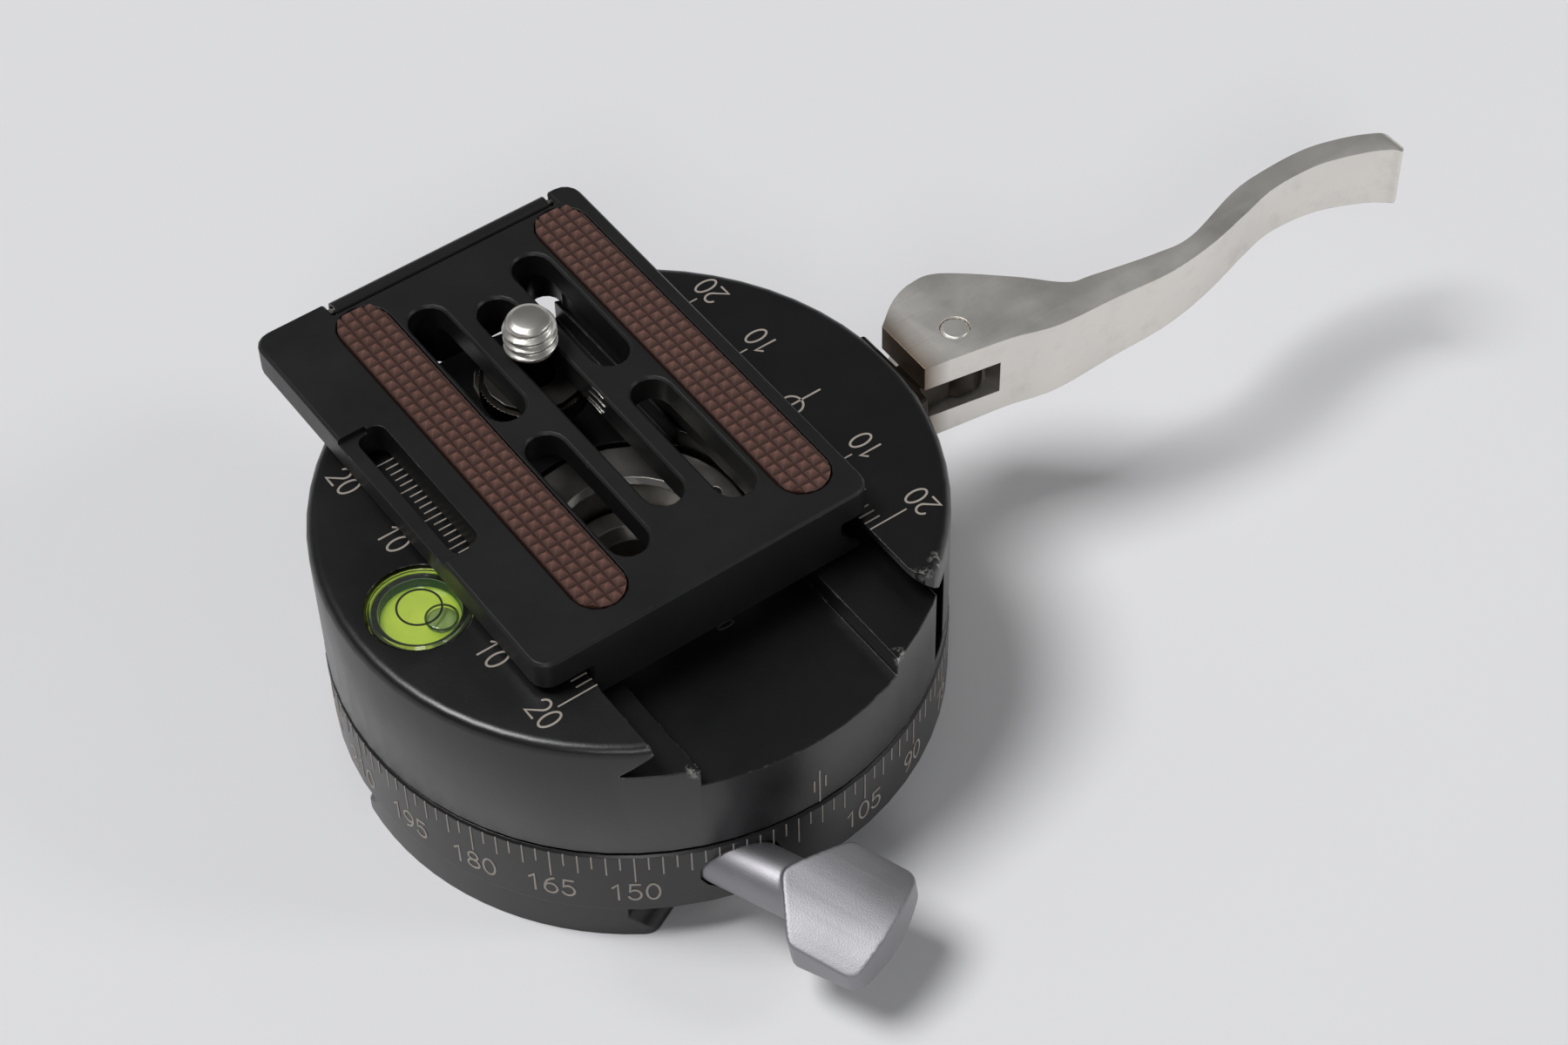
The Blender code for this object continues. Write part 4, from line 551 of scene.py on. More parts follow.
def open_ticks(name, *extra):
    """A node tree for a scale: its inputs, its output and the number of each tick."""
    sizes = [(size, FLOAT, 1.0)
             for size in ("Top", "Long", "Middle", "Short", "Width", "Depth", *extra)]
    tree, given, result = open_group(
        name, "GeometryNodeTree",
        [("Geometry", SHAPE, None), ("Count", WHOLE, 1), *sizes, ("Material", FINISH, None)],
        [("Geometry", SHAPE)],
    )
    calc = functools.partial(math_node, tree)
    return tree, given, result, put(tree, "GeometryNodeInputIndex").outputs[0], calc


def close_ticks(tree, given, result, spot, size, turn=None):
    """Sets a block at each tick's spot, as one real mesh in its material."""
    places = put(tree, "GeometryNodePoints", {
        "Count": given["Count"], "Position": put(tree, "ShaderNodeCombineXYZ", spot).outputs[0],
    })
    tick = put(tree, "GeometryNodeMeshCube", {"Size": (1, 1, 1)})
    laid = {"Points": places.outputs[0], "Instance": tick.outputs["Mesh"],
            "Scale": put(tree, "ShaderNodeCombineXYZ", size).outputs[0]}
    if turn:
        laid["Rotation"] = put(tree, "ShaderNodeCombineXYZ", turn).outputs[0]
    ticks = put(tree, "GeometryNodeInstanceOnPoints", laid)
    real = put(tree, "GeometryNodeRealizeInstances", {"Geometry": ticks.outputs[0]})
    painted = put(tree, "GeometryNodeSetMaterial",
                  {"Geometry": real.outputs[0], "Material": given["Material"]})
    tree.links.new(painted.outputs[0], result[0])


ring_ticks, given, result, index, calc = open_ticks("ring_of_ticks", "Radius", "Start")
share = calc("DIVIDE", calc("MULTIPLY", index, 2 * pi), given["Count"])
angle = calc("ADD", share, given["Start"])
length = tick_length(calc, index, given, 6, 2)
close_ticks(ring_ticks, given, result, {
    0: calc("MULTIPLY", calc("COSINE", angle), given["Radius"]),
    1: calc("MULTIPLY", calc("SINE", angle), given["Radius"]),
    2: calc("SUBTRACT", given["Top"], calc("DIVIDE", length, 2.0)),
}, {0: given["Depth"], 1: given["Width"], 2: length}, turn={2: angle})
make_by_nodes("degree_scale_ticks", ring_ticks, DEGREE_TICKS, mark_fill, "base")

numbers = bmesh.new()
for label in range(0, 360, SCALE_LABEL_STEP):
    if label in SCALE_BLANKS:
        continue
    azimuth = radians(SCALE_ZERO - label)

    def on_side(across, up, out, azimuth=azimuth):
        angle = azimuth + (across - NUMBER_SHIFT) / BASE_RADIUS
        radius = BASE_RADIUS + out
        return (radius * cos(angle), radius * sin(angle), NUMBER_MIDDLE + up)

    engrave_number(numbers, str(label), on_side, **DEGREE_NUMBER)
piece_from(numbers, "degree_scale_numbers", mark_fill, "base")

# ---------------- Pan bearing ----------------
# A turned steel post runs up through the clamp, held by three screws in the base. A plastic
# ring carries the turntable, and a bare steel ring nut over a dished washer holds it down.

STEEL = (168, 165, 160)
# At a metallic of exactly 0 the worn places shine as metal, which plastic mustn't
NO_METAL = 0.0001
steel = metal_finish("turned_steel", STEEL, (200, 198, 194), 0.34, 0.07, 1.0, cover=0.2,
                     bump=0.006, tint=0.1)
# Blackened steel for the spindle screws; the camera screw's washer takes it too, as painted shade
# in the plate's hollow
dark_steel = metal_finish("blackened_steel_and_shade", (62, 60, 58), STEEL, 0.42, 0.08, 0.9, cover=0.5,
                          bump=0.006)
plastic = metal_finish("bearing_plastic", (196, 192, 180), (214, 210, 200), 0.5, 0.06, NO_METAL,
                       cover=0.1, bump=0.01, tint=0.04)
dress(steel, "pan_spindle", "spindle_nut")
dress(dark_steel, "spindle_screw_1", "spindle_screw_2", "spindle_screw_3", "friction_washer")
dress(plastic, "thrust_washer")

# ---------------- Turntable and fixed jaw ----------------
# One aluminium disc, turned, milled for the channel and anodised black. Its top carries a
# millimetre scale along each jaw and its side an index line over the degree scale.

BODY_RADIUS = 35.5 * MM
TOP_Z = 34.04 * MM
CHANNEL_FLOOR = 26.9 * MM
JAW_TICKS = {
    "Count": 41, "Pitch": 1.0 * MM, "Top": TOP_Z + MARK_LIFT - MARK_SINK / 2, "Long": 4.95 * MM,
    "Middle": 3.1 * MM, "Short": 2.0 * MM, "Width": 0.18 * MM, "Depth": MARK_SINK,
}
LEFT_EDGE = -17.55 * MM
RIGHT_EDGE = 18.25 * MM
JAW_NUMBER = {"width": 1.42 * MM, "height": 2.75 * MM, "pitch": 1.95 * MM, "stroke": 0.26 * MM}
# Each jaw's numbers: x, and then the text and y of each, in millimetres
LEFT_NUMBERS = (-24.1, (("20", 20.3), ("10", 10.0), ("10", -9.9), ("20", -19.9)))
RIGHT_NUMBERS = (25.2, (("20", 20.1), ("10", 10.1), ("10", -9.9), ("20", -20.1)))
INDEX_LINES = (
    # across and the two heights, in millimetres
    (-0.1, 16.17, 21.62), (-0.8, 18.35, 20.2), (0.7, 18.35, 20.2),
)

dress(anodised, "clamp_body")
dress(steel, "guide_pin_front", "guide_pin_back", "return_spring_front", "return_spring_back")

row_ticks, given, result, index, calc = open_ticks("row_of_ticks", "Pitch", "Edge", "Way")
half_count = calc("DIVIDE", calc("SUBTRACT", given["Count"], 1.0), 2.0)
step = calc("SUBTRACT", index, half_count)
# The middle tick is a middle one, because the centre mark stands there
in_middle = calc("LESS_THAN", calc("ABSOLUTE", step), 0.5)
cut_back = calc("MULTIPLY", in_middle, calc("SUBTRACT", given["Long"], given["Middle"]))
length = calc("SUBTRACT", tick_length(calc, index, given, 10, 5), cut_back)
half_length = calc("DIVIDE", length, 2.0)
close_ticks(row_ticks, given, result, {
    0: calc("ADD", given["Edge"], calc("MULTIPLY", given["Way"], half_length)),
    1: calc("MULTIPLY", step, given["Pitch"]), 2: given["Top"],
}, {0: length, 1: given["Width"], 2: given["Depth"]})
make_by_nodes("left_jaw_ticks", row_ticks, {**JAW_TICKS, "Edge": LEFT_EDGE, "Way": -1.0},
              mark_fill, "turntable")


def on_top(x, y):
    """Places engraving on the clamp's top, read from outside the clamp."""
    way = 1 if x > 0 else -1

    def place(across, up, out):
        return (x - way * up, y + way * across, TOP_Z + out)

    return place


def flat_at(height):
    return lambda x, y, out: (x, y, height + out)


def engrave_jaw(build, x, numbers):
    for text, y in numbers:
        engrave_number(build, text, on_top(x * MM, y * MM), **JAW_NUMBER)


left_numbers = bmesh.new()
engrave_jaw(left_numbers, *LEFT_NUMBERS)
piece_from(left_numbers, "left_jaw_numbers", mark_fill, "turntable")

index_mark = bmesh.new()
for across, low, high in INDEX_LINES:
    engrave(index_mark, [(across * MM, low * MM), (across * MM, high * MM)], 0.1 * MM,
            lambda x, z, out: (x, -sqrt((BODY_RADIUS + out) ** 2 - x**2), z))
piece_from(index_mark, "index_mark", mark_fill, "turntable")

floor_mark = bmesh.new()
engrave(floor_mark, bow(1.1 * MM, -16.6 * MM, 1.0 * MM, 0.36 * MM, 0, 360, 24), 0.12 * MM,
        flat_at(CHANNEL_FLOOR))
dull_mark = metal_finish("dull_mark", (44, 41, 37), BARE_ALUMINIUM, 0.5, 0.05, 0, cover=0.1)
piece_from(floor_mark, "channel_mark", dull_mark, "turntable")

# ---------------- Moving jaw ----------------
# The loose half of the dovetail, milled and anodised like the disc, with a hard steel plate
# set in its outer face for the cam. Two springs push it open; the drawbar pulls it shut.

CENTRE_RING_X = 22.19 * MM
CENTRE_RING_RADIUS = 1.32 * MM
CENTRE_LINE = (18.3, 26.1)

dress(anodised, "moving_jaw")
oiled = metal_finish("oiled_steel", (54, 48, 42), (140, 120, 94), 0.38, 0.08, 1.0, cover=0.35,
                     bump=0.01, tint=0.25)
dress(oiled, "wear_plate", "drawbar")
make_by_nodes("right_jaw_ticks", row_ticks, {**JAW_TICKS, "Edge": RIGHT_EDGE, "Way": 1.0},
              mark_fill, "jaw")
right_numbers = bmesh.new()
engrave_jaw(right_numbers, *RIGHT_NUMBERS)
engrave(right_numbers, bow(CENTRE_RING_X, 0, CENTRE_RING_RADIUS, CENTRE_RING_RADIUS, 0, 360, 36),
        0.13 * MM, flat_at(TOP_Z))
engrave(right_numbers, [(x * MM, 0.0) for x in CENTRE_LINE], 0.12 * MM, flat_at(TOP_Z))
piece_from(right_numbers, "right_jaw_numbers", mark_fill, "jaw")

# ---------------- Bubble level ----------------
# A clear acrylic vial pressed into the fixed jaw: a lime cup, lime fluid with a bubble in it,
# a black ring printed under the lens, and a thick clear rim that shows lime at its edge.

LEVEL_X, LEVEL_Y = -27.0 * MM, 0.1 * MM
VIAL_SHAPE = (
    # radius and height, from the middle of the lime disc out and round to the bottom
    (0, 31.7), (4.3, 31.7), (4.45, 31.85), (4.5, 32.85), (4.6, 32.98), (5.3, 32.98), (5.6, 33.0),
    (5.68, 32.9), (5.68, 30.46), (0, 30.46),
)
VIAL_COLOURS_AND_SHADE = (
    # share of VIAL_SPAN from the middle, and the colour there: the lime fluid, darkening into bands
    # of painted shade where the vial's wall stands, crossed by a thin paler line, and then the lime
    # rim
    (0.0, (196, 214, 86)), (0.66, (184, 206, 78)), (0.722, (150, 180, 66)), (0.738, (22, 58, 44)),
    (0.754, (14, 44, 36)), (0.762, (120, 136, 108)), (0.768, (30, 34, 28)), (0.872, (26, 30, 22)),
    (0.892, (120, 146, 44)), (0.925, (186, 206, 76)),
)
VIAL_SPAN = 6.0 * MM
BUBBLE_PLACE = (-25.57, -2.05)
BUBBLE_RADIUS = 1.75 * MM
BUBBLE_TOP = 33.0 * MM
BUBBLE_DEPTH = 0.5 * MM
RING_RADIUS = 2.46 * MM
LENS_TOP = 34.06 * MM
LENS_ROUGHNESS = (0.03, 0.12)
VIAL_PAINTED_GLOW = 0.36

acrylic, tree, shader, grain = mottled_finish(
    "clear_acrylic", (247, 251.6, 247), (255, 255, 255), 250.0, IOR=1.49, Transmission_Weight=1.0)
haze = ranged(tree, grain["Broad"], 0, 1, *LENS_ROUGHNESS)
feed(shader, "Roughness", haze)
dress(acrylic, "level_lens")

vial_colour_and_shade, tree, shader = start_finish("lime_vial_painted_shade_and_glow", Roughness=0.25, Coat_Weight=0.4)
flattened = vector_node(tree, "MULTIPLY", object_place(tree), (1, 1, 0))["Vector"]
radius = vector_node(tree, "DISTANCE", flattened, (LEVEL_X, LEVEL_Y, 0))["Value"]
# The dark bands by radius are painted shade of the vial's wall
colour_and_shade_bands = put(tree, "ShaderNodeValToRGB", {"Fac": math_node(tree, "DIVIDE", radius, VIAL_SPAN)})
ramp = colour_and_shade_bands.color_ramp
ramp.elements[1].position = 1.0
ramp.elements[1].color = rgb(150, 176, 60)
ramp.elements[0].color = rgb(*VIAL_COLOURS_AND_SHADE[0][1])
for position, shade in VIAL_COLOURS_AND_SHADE[1:]:
    ramp.elements.new(position).color = rgb(*shade)
feed(shader, "Base Color", colour_and_shade_bands.outputs["Color"])
# Painted light: the vial gives out its own colours as a glow, though it is no lamp
feed(shader, "Emission Color", colour_and_shade_bands.outputs["Color"])
shader.inputs["Emission Strength"].default_value = VIAL_PAINTED_GLOW
vial_shape = turned([(r * MM, z * MM) for r, z in VIAL_SHAPE], 96, (LEVEL_X, LEVEL_Y))
vial = piece_from(vial_shape, "level_vial", vial_colour_and_shade, "turntable", 35)
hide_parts("level_cup", "level_fluid")

black_print = mottled_finish("black_print", (8, 10, 6), (18, 24, 12), 700.0, Roughness=0.5)[0]
level_ring = bmesh.new()
engrave(level_ring, bow(LEVEL_X, LEVEL_Y, RING_RADIUS, RING_RADIUS, 0, 360, 64), 0.12 * MM,
        flat_at(LENS_TOP), 0.02 * MM, 0.02 * MM)
piece_from(level_ring, "level_ring", black_print, "turntable")
bubble_x, bubble_y = (value * MM for value in BUBBLE_PLACE)
# Painted shade: a dark green band laid round the bubble's rim stands for its dark outline
bubble_shade_ring = bmesh.new()
engrave(bubble_shade_ring, bow(bubble_x, bubble_y, BUBBLE_RADIUS, BUBBLE_RADIUS, 0, 360, 48), 0.13 * MM,
        flat_at(BUBBLE_TOP), 0.03 * MM, 0.02 * MM)
painted_rim_shade = mottled_finish("bubble_painted_shade_rim", (48, 70, 26), (84, 112, 40), 500.0, Roughness=0.3)[0]
piece_from(bubble_shade_ring, "bubble_painted_shade_rim", painted_rim_shade, "turntable")
bubble_finish = mottled_finish("bubble", (150, 178, 96), (176, 200, 118), 400.0, Roughness=0.04,
                               Specular_IOR_Level=0.8)[0]
bubble_profile = [(0, BUBBLE_TOP)] + [
    (BUBBLE_RADIUS * sin(a), BUBBLE_TOP - BUBBLE_DEPTH * (1 - cos(a)))
    for a in QUARTER_TURN
] + [(0, BUBBLE_TOP - BUBBLE_DEPTH - 0.02 * MM)]
piece_from(turned(bubble_profile, 48, (bubble_x, bubble_y)), "level_bubble", bubble_finish,
           "turntable", 50)

# ---------------- Cam lever ----------------
# Investment-cast stainless steel, linished along its length, with the cam lobe at its root.
# A stainless pin holds it to the drawbar's eye, which lies in a slot through the root.

PIVOT_X = 45.4
LEVER_TOP = 32.0
LEVER_REACH = 62.3
LEVER_SHOULDER = 8.8
LEVER_HUB = 12.0
LEVER_LOW = LEVER_TOP - LEVER_HUB
LEVER_EDGE = 0.55
LEVER_TIP_CORNER = 1.6
LEVER_CURVE_STEPS = 7
LEVER_WELD = 0.04
NOSE_TOP_RADIUS, NOSE_LOW_RADIUS = 1.3, 2.4
NOSE_LOW = 23.2
NOSE_STEPS = 7
PIN_SEAT = 1.8
SLOT_LOW, SLOT_HIGH = 23.6, 28.4
SLOT_WALL = 3.0
SLOT_REACH = 12.2
SLOT_SLANT = radians(60)
EYE_ROOM = 3.7
HUB_BROWN_REACH = (3.5, 7.2)
STAIN_RANGE, STAIN_SHARE = (0.52, 0.7), 0.1
LEVER_BROWN = rgb(112, 88, 62)
# Across from the pivot, as shares of LEVER_REACH along and of LEVER_SHOULDER across
LEVER_BACK = (
    (-0.106, 0.59), (-0.051, 0.875), (0.003, 1.0), (0.063, 0.92), (0.169, 0.284),
    (0.239, -0.216), (0.289, -0.318), (0.42, -0.511), (0.504, -0.545), (0.639, -0.25),
    (0.722, -0.17), (0.831, -0.182), (0.921, -0.352), (0.984, -0.58), (1.0, -0.75),
    (0.992, -0.966),
)
LEVER_FRONT = (
    (-0.108, -0.352), (0.0, -0.489), (0.072, -0.591), (0.161, -0.773), (0.295, -0.841),
    (0.417, -0.909), (0.526, -0.83), (0.624, -0.67), (0.716, -0.523), (0.823, -0.534),
    (0.912, -0.716), (0.96, -0.886), (0.979, -1.034),
)
# The height under the top, as shares of LEVER_REACH along and of LEVER_HUB
LEVER_DEPTH = (
    (-0.13, 1.0), (-0.006, 0.975), (0.138, 0.925), (0.315, 0.817), (0.475, 0.708),
    (0.652, 0.608), (0.828, 0.667), (0.973, 0.733), (1.03, 0.742),
)


def smooth_through(points, steps):
    """Points on a smooth curve through the given ones."""
    places = [Vector(point) for point in points]
    padded = [2 * places[0] - places[1], *places, 2 * places[-1] - places[-2]]
    curve = []
    for a, b, c, d in zip(padded, padded[1:], padded[2:], padded[3:]):
        for t in (step / steps for step in range(steps)):
            curve.append((2 * b + (c - a) * t + (2 * a - 5 * b + 4 * c - d) * t**2
                          + (3 * b - a - 3 * c + d) * t**3) / 2)
    return curve + [places[-1]]


def bar(name, outline, low, high, place=lambda x, y, z: (x, y, z)):
    """A solid: an outline of two numbers, run from low to high along the third."""
    build = bmesh.new()
    ends = [[build.verts.new(place(x, y, z)) for x, y in outline] for z in (low, high)]
    build.faces.new(ends[0][::-1])
    build.faces.new(ends[1])
    bridge(build, ends)
    return add_object(name, closed_mesh(build, name))


def settle(shape):
    """Turns an object's live modifiers into its mesh."""
    mesh = made_mesh(shape)
    shape.modifiers.clear()
    shape.data = mesh


def carve(shape, *tools, way="DIFFERENCE"):
    for tool in tools:
        carving = shape.modifiers.new("carve", "BOOLEAN")
        carving.operation = way
        carving.solver = "MANIFOLD"
        carving.object = tool
    settle(shape)
    for tool in tools:
        bpy.data.objects.remove(tool)


def soften(shape, width, segments, angle=30):
    rounding = shape.modifiers.new("soften", "BEVEL")
    rounding.width = width
    rounding.segments = segments
    rounding.limit_method = "ANGLE"
    rounding.angle_limit = radians(angle)
    return rounding


def finish_piece(shape, name, place, material, body, angle=SHARP_ANGLE):
    """Sets a piece drawn in millimetres in its place, in metres, and hands it over."""
    shape.data.transform(Matrix.Scale(MM, 4) @ place)
    shape.name = shape.data.name = name
    paint(shape.data, material)
    shade_by_angle(shape.data, angle)
    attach(shape, body)
    return shape


side_lay = lambda x, z, y: (x, y, z)
back_curve, front_curve = (
    smooth_through([(x * LEVER_REACH, y * LEVER_SHOULDER) for x, y in shares], LEVER_CURVE_STEPS)
    for shares in (LEVER_BACK, LEVER_FRONT)
)
lever = bar("lever_blank", front_curve + back_curve[::-1], LEVER_LOW, LEVER_TOP)
belly_curve = [tuple(p) for p in smooth_through(
    [(x * LEVER_REACH, LEVER_TOP - depth * LEVER_HUB) for x, depth in LEVER_DEPTH],
    LEVER_CURVE_STEPS)]
belly_curve += [(belly_curve[-1][0], LEVER_LOW - 1), (belly_curve[0][0], LEVER_LOW - 1)]
carve(lever, bar("belly", belly_curve, -LEVER_REACH, LEVER_REACH, side_lay))
weld = lever.modifiers.new("weld", "WELD")
weld.merge_threshold = LEVER_WELD
settle(lever)
# The two upright corners at the tip are rounder than the long edges
with opened(lever.data) as tip:
    upright = [
        edge for edge in tip.edges
        if edge.verts[0].co.x > 0.9 * LEVER_REACH and len(edge.link_faces) == 2
        and abs((edge.verts[0].co - edge.verts[1].co).normalized().z) > 0.9
        and edge.calc_face_angle(0) > radians(25)
    ]
    bmesh.ops.bevel(tip, geom=upright, offset=LEVER_TIP_CORNER, segments=5, profile=0.5,
                    affect="EDGES", clamp_overlap=True)
nose = [
    (LEVER_REACH - radius * (1 - sin(angle)), height + way * radius * (cos(angle) - 1))
    for radius, height, way, turns in (
        (NOSE_TOP_RADIUS, LEVER_TOP, 1, range(NOSE_STEPS + 1)),
        (NOSE_LOW_RADIUS, NOSE_LOW, -1, range(NOSE_STEPS, -1, -1)),
    )
    for angle in (pi / 2 * step / NOSE_STEPS for step in turns)
]
beyond = [(nose[-1][0], LEVER_LOW), (LEVER_REACH + 2, LEVER_LOW), (LEVER_REACH + 2, LEVER_TOP + 1),
          (nose[0][0], LEVER_TOP + 1)]
carve(lever, bar("nose", nose + beyond, -LEVER_REACH, LEVER_REACH, side_lay))
soften(lever, LEVER_EDGE, 4)
settle(lever)
fork_outline = [
    (-SLOT_REACH, -SLOT_REACH), (SLOT_WALL, -SLOT_REACH), (SLOT_WALL, -1.0),
    (SLOT_WALL + SLOT_REACH / tan(SLOT_SLANT), SLOT_REACH - 1.0),
    (-SLOT_REACH, SLOT_REACH - 1.0),
]
carve(lever, bar("fork", fork_outline, SLOT_LOW, SLOT_HIGH),
      bar("eye_room", circle(EYE_ROOM, 48), SLOT_LOW, SLOT_HIGH),
      bar("pin_seat", circle(PIN_SEAT, 40), 0, LEVER_TOP + 1))
brushed = metal_finish("brushed_stainless", (236, 232, 226), (240, 238, 234), 0.44, 0.05, 1.0,
                       reach=0.00012, cover=0.1, fine=2600.0, stretch=(0.04, 1, 1.6), bump=0.02,
                       tint=0.09)
tree = brushed.node_tree
shader = tree.nodes["Principled BSDF"]
here = object_place(tree)
along = put(tree, "ShaderNodeSeparateXYZ", {"Vector": here}).outputs["X"]
# Browner towards the hub end, and scattered brown stains along the lever
near_hub = ranged(tree, along, *((PIVOT_X - back) * MM for back in HUB_BROWN_REACH))
stained = ranged(tree, noise(tree, here, 260.0, 6.0, 0.7), *STAIN_RANGE, 0, STAIN_SHARE)
brown_share = math_node(tree, "MAXIMUM", near_hub, stained)
under = shader.inputs["Base Color"].links[0].from_socket
feed(shader, "Base Color", mix(tree, brown_share, under, LEVER_BROWN))
lever = finish_piece(lever, "polished_lever", Matrix.Translation((PIVOT_X, 0, 0)), brushed,
                     "lever")
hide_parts("cam_lever")
dress(brushed, "pivot_pin")

# ---------------- Pan lock ----------------
# A wing knob, bead-blasted and clear anodised, on a threaded stud. The stud pulls a split
# cotter against the turntable's hub to stop the pan.

LOCK_PLACE = (-20.343, -8.635, 10.8)
LOCK_AZIMUTH = radians(-67)
KNOB_ROLL = radians(11)
STEM_RADIUS = 3.4
STEM_INNER = 23.9
TANG_BORE = 2.0
TANG_DEPTH = 6.3
KNOB_APEX = 33.0
KNOB_SHOULDER = 37.7
KNOB_END = 45.9
KNOB_CROWN = 0.9
KNOB_HALF = 7.0
KNOB_THICK = 5.3
KNOB_TAPER = 0.13
KNOB_EDGE = 1.25
KNOB_CROWN_EDGE_SHARE = 0.35
KNOB_CORNER = 1.7
KNOB_SWELL = 1.35
KNOB_STRIPS = 28
KNOB_GRID = 0.16
KNOB_SMOOTHING = 9

blasted = metal_finish("bead_blasted", (150, 149, 153), (176, 176, 178), 0.5, 0.04, 0.85,
                       reach=0.00012, cover=0.12, fine=6500.0, bump=0.02, tint=0.1)
brass = metal_finish("brass", (196, 160, 88), (220, 190, 120), 0.34, 0.06, 1.0, cover=0.2,
                     bump=0.006)


def rounded(corners, radius, steps=6):
    """An outline with each of its corners turned into an arc."""
    outline = []
    for i, corner in enumerate(corners):
        corner = Vector(corner)
        back = (Vector(corners[i - 1]) - corner).normalized()
        ahead = (Vector(corners[(i + 1) % len(corners)]) - corner).normalized()
        half = back.angle(ahead) / 2
        middle = corner + (back + ahead).normalized() * radius / sin(half)
        arm = corner + back * radius / tan(half) - middle
        sweep = copysign(pi, back.angle_signed(ahead)) - back.angle_signed(ahead)
        for step in range(steps + 1):
            swung = arm.copy()
            swung.rotate(Matrix.Rotation(sweep * step / steps, 2))
            outline.append(tuple(middle + swung))
    return outline


crown = [
    (KNOB_END + KNOB_CROWN * (1 - share**2), share * KNOB_HALF)
    for share in (-0.6, -0.4, -0.2, 0, 0.2, 0.4, 0.6)
]
leaf_outline = rounded([
    (KNOB_APEX, 0), (KNOB_SHOULDER, -KNOB_HALF), (KNOB_END, -KNOB_HALF), *crown,
    (KNOB_END, KNOB_HALF), (KNOB_SHOULDER, KNOB_HALF),
], KNOB_CORNER)
knob = bar("knob_blank", leaf_outline, -KNOB_THICK / 2, KNOB_THICK / 2)
with opened(knob.data) as leaf:
    weights = leaf.edges.layers.float.new("bevel_weight_edge")
    for edge in leaf.edges:
        middle = (edge.verts[0].co + edge.verts[1].co) / 2
        if abs(middle.z) > KNOB_THICK / 2 - 0.01:
            edge[weights] = KNOB_CROWN_EDGE_SHARE if middle.x > KNOB_END - 0.2 else 1.0
soften(knob, KNOB_EDGE, 6).limit_method = "WEIGHT"
settle(knob)
with opened(knob.data) as leaf:
    for step in range(1, KNOB_STRIPS):
        across = KNOB_HALF * (2 * step / KNOB_STRIPS - 1)
        bmesh.ops.bisect_plane(leaf, geom=leaf.verts[:] + leaf.edges[:] + leaf.faces[:],
                               dist=0.001, plane_co=(0, across, 0), plane_no=(0, 1, 0))
    for vertex in leaf.verts:
        swell = KNOB_SWELL * (1 - (vertex.co.y / KNOB_HALF) ** 2)
        thinner = KNOB_TAPER * max(0.0, vertex.co.x - KNOB_SHOULDER)
        vertex.co.z *= 1 + (swell - thinner) / (KNOB_THICK / 2)
stem_lay = lambda y, z, x: (x, y, z)
stem = bar("stem", circle(STEM_RADIUS, 64), STEM_INNER, KNOB_SHOULDER, stem_lay)
carve(knob, stem, way="UNION")
carve(knob, bar("tang_bore", circle(TANG_BORE, 32), STEM_INNER - 1, STEM_INNER + TANG_DEPTH,
                stem_lay))
grid = knob.modifiers.new("even_grid", "REMESH")
grid.mode = "VOXEL"
grid.voxel_size = KNOB_GRID
easing = knob.modifiers.new("ease", "SMOOTH")
easing.factor = 0.5
easing.iterations = KNOB_SMOOTHING
settle(knob)
knob_place = Matrix.Translation(LOCK_PLACE) @ Matrix.Rotation(LOCK_AZIMUTH, 4, "Z")
knob_place @= Matrix.Rotation(KNOB_ROLL, 4, "X")
knob = finish_piece(knob, "blasted_knob", knob_place, blasted, "knob", 60)
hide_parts("lock_knob")
dress(steel, "lock_screw")
dress(brass, "brake_cotter")

# ---------------- Quick-release plate ----------------
# An aluminium plate, milled with a dovetail under it and slots through it, and anodised a
# duller black than the clamp. A flip-up stop on two pins lies flush along its far end.

plate_black = metal_finish("plate_anodised", (21, 21, 21), BARE_ALUMINIUM, 0.42, 0.05, 0,
                           cover=0.34, bump=0.012, Specular_IOR_Level=0.4)
dress(plate_black, "quick_release_plate", "anti_twist_stop")
dress(steel, "stop_pin_left", "stop_pin_right")

# ---------------- Rubber pads ----------------
# Brown rubber strips, moulded with rows of small pyramids and glued into pockets in the plate.

PYRAMID = 1.48 * MM
PYRAMID_HEIGHT = 0.7 * MM
PAD_END_STEPS = 12
PAD_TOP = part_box("pad_left")[1].z

rubber, tree, shader, grain = mottled_finish("brown_rubber", (96, 62, 52), (120, 84, 72), 160.0,
                                             3000.0, Roughness=0.55)
# Painted shade: the colour darkens down into the valleys between the pyramids
tone = shader.inputs["Base Color"].links[0].from_socket
rise = put(tree, "ShaderNodeSeparateXYZ", {"Vector": object_place(tree)}).outputs["Z"]
depth = ranged(tree, rise, PAD_TOP - PYRAMID_HEIGHT, PAD_TOP - 0.1 * MM)
feed(shader, "Base Color", mix(tree, depth, rgb(52, 28, 22), tone))
bumpy(tree, shader, grain, 0.03)


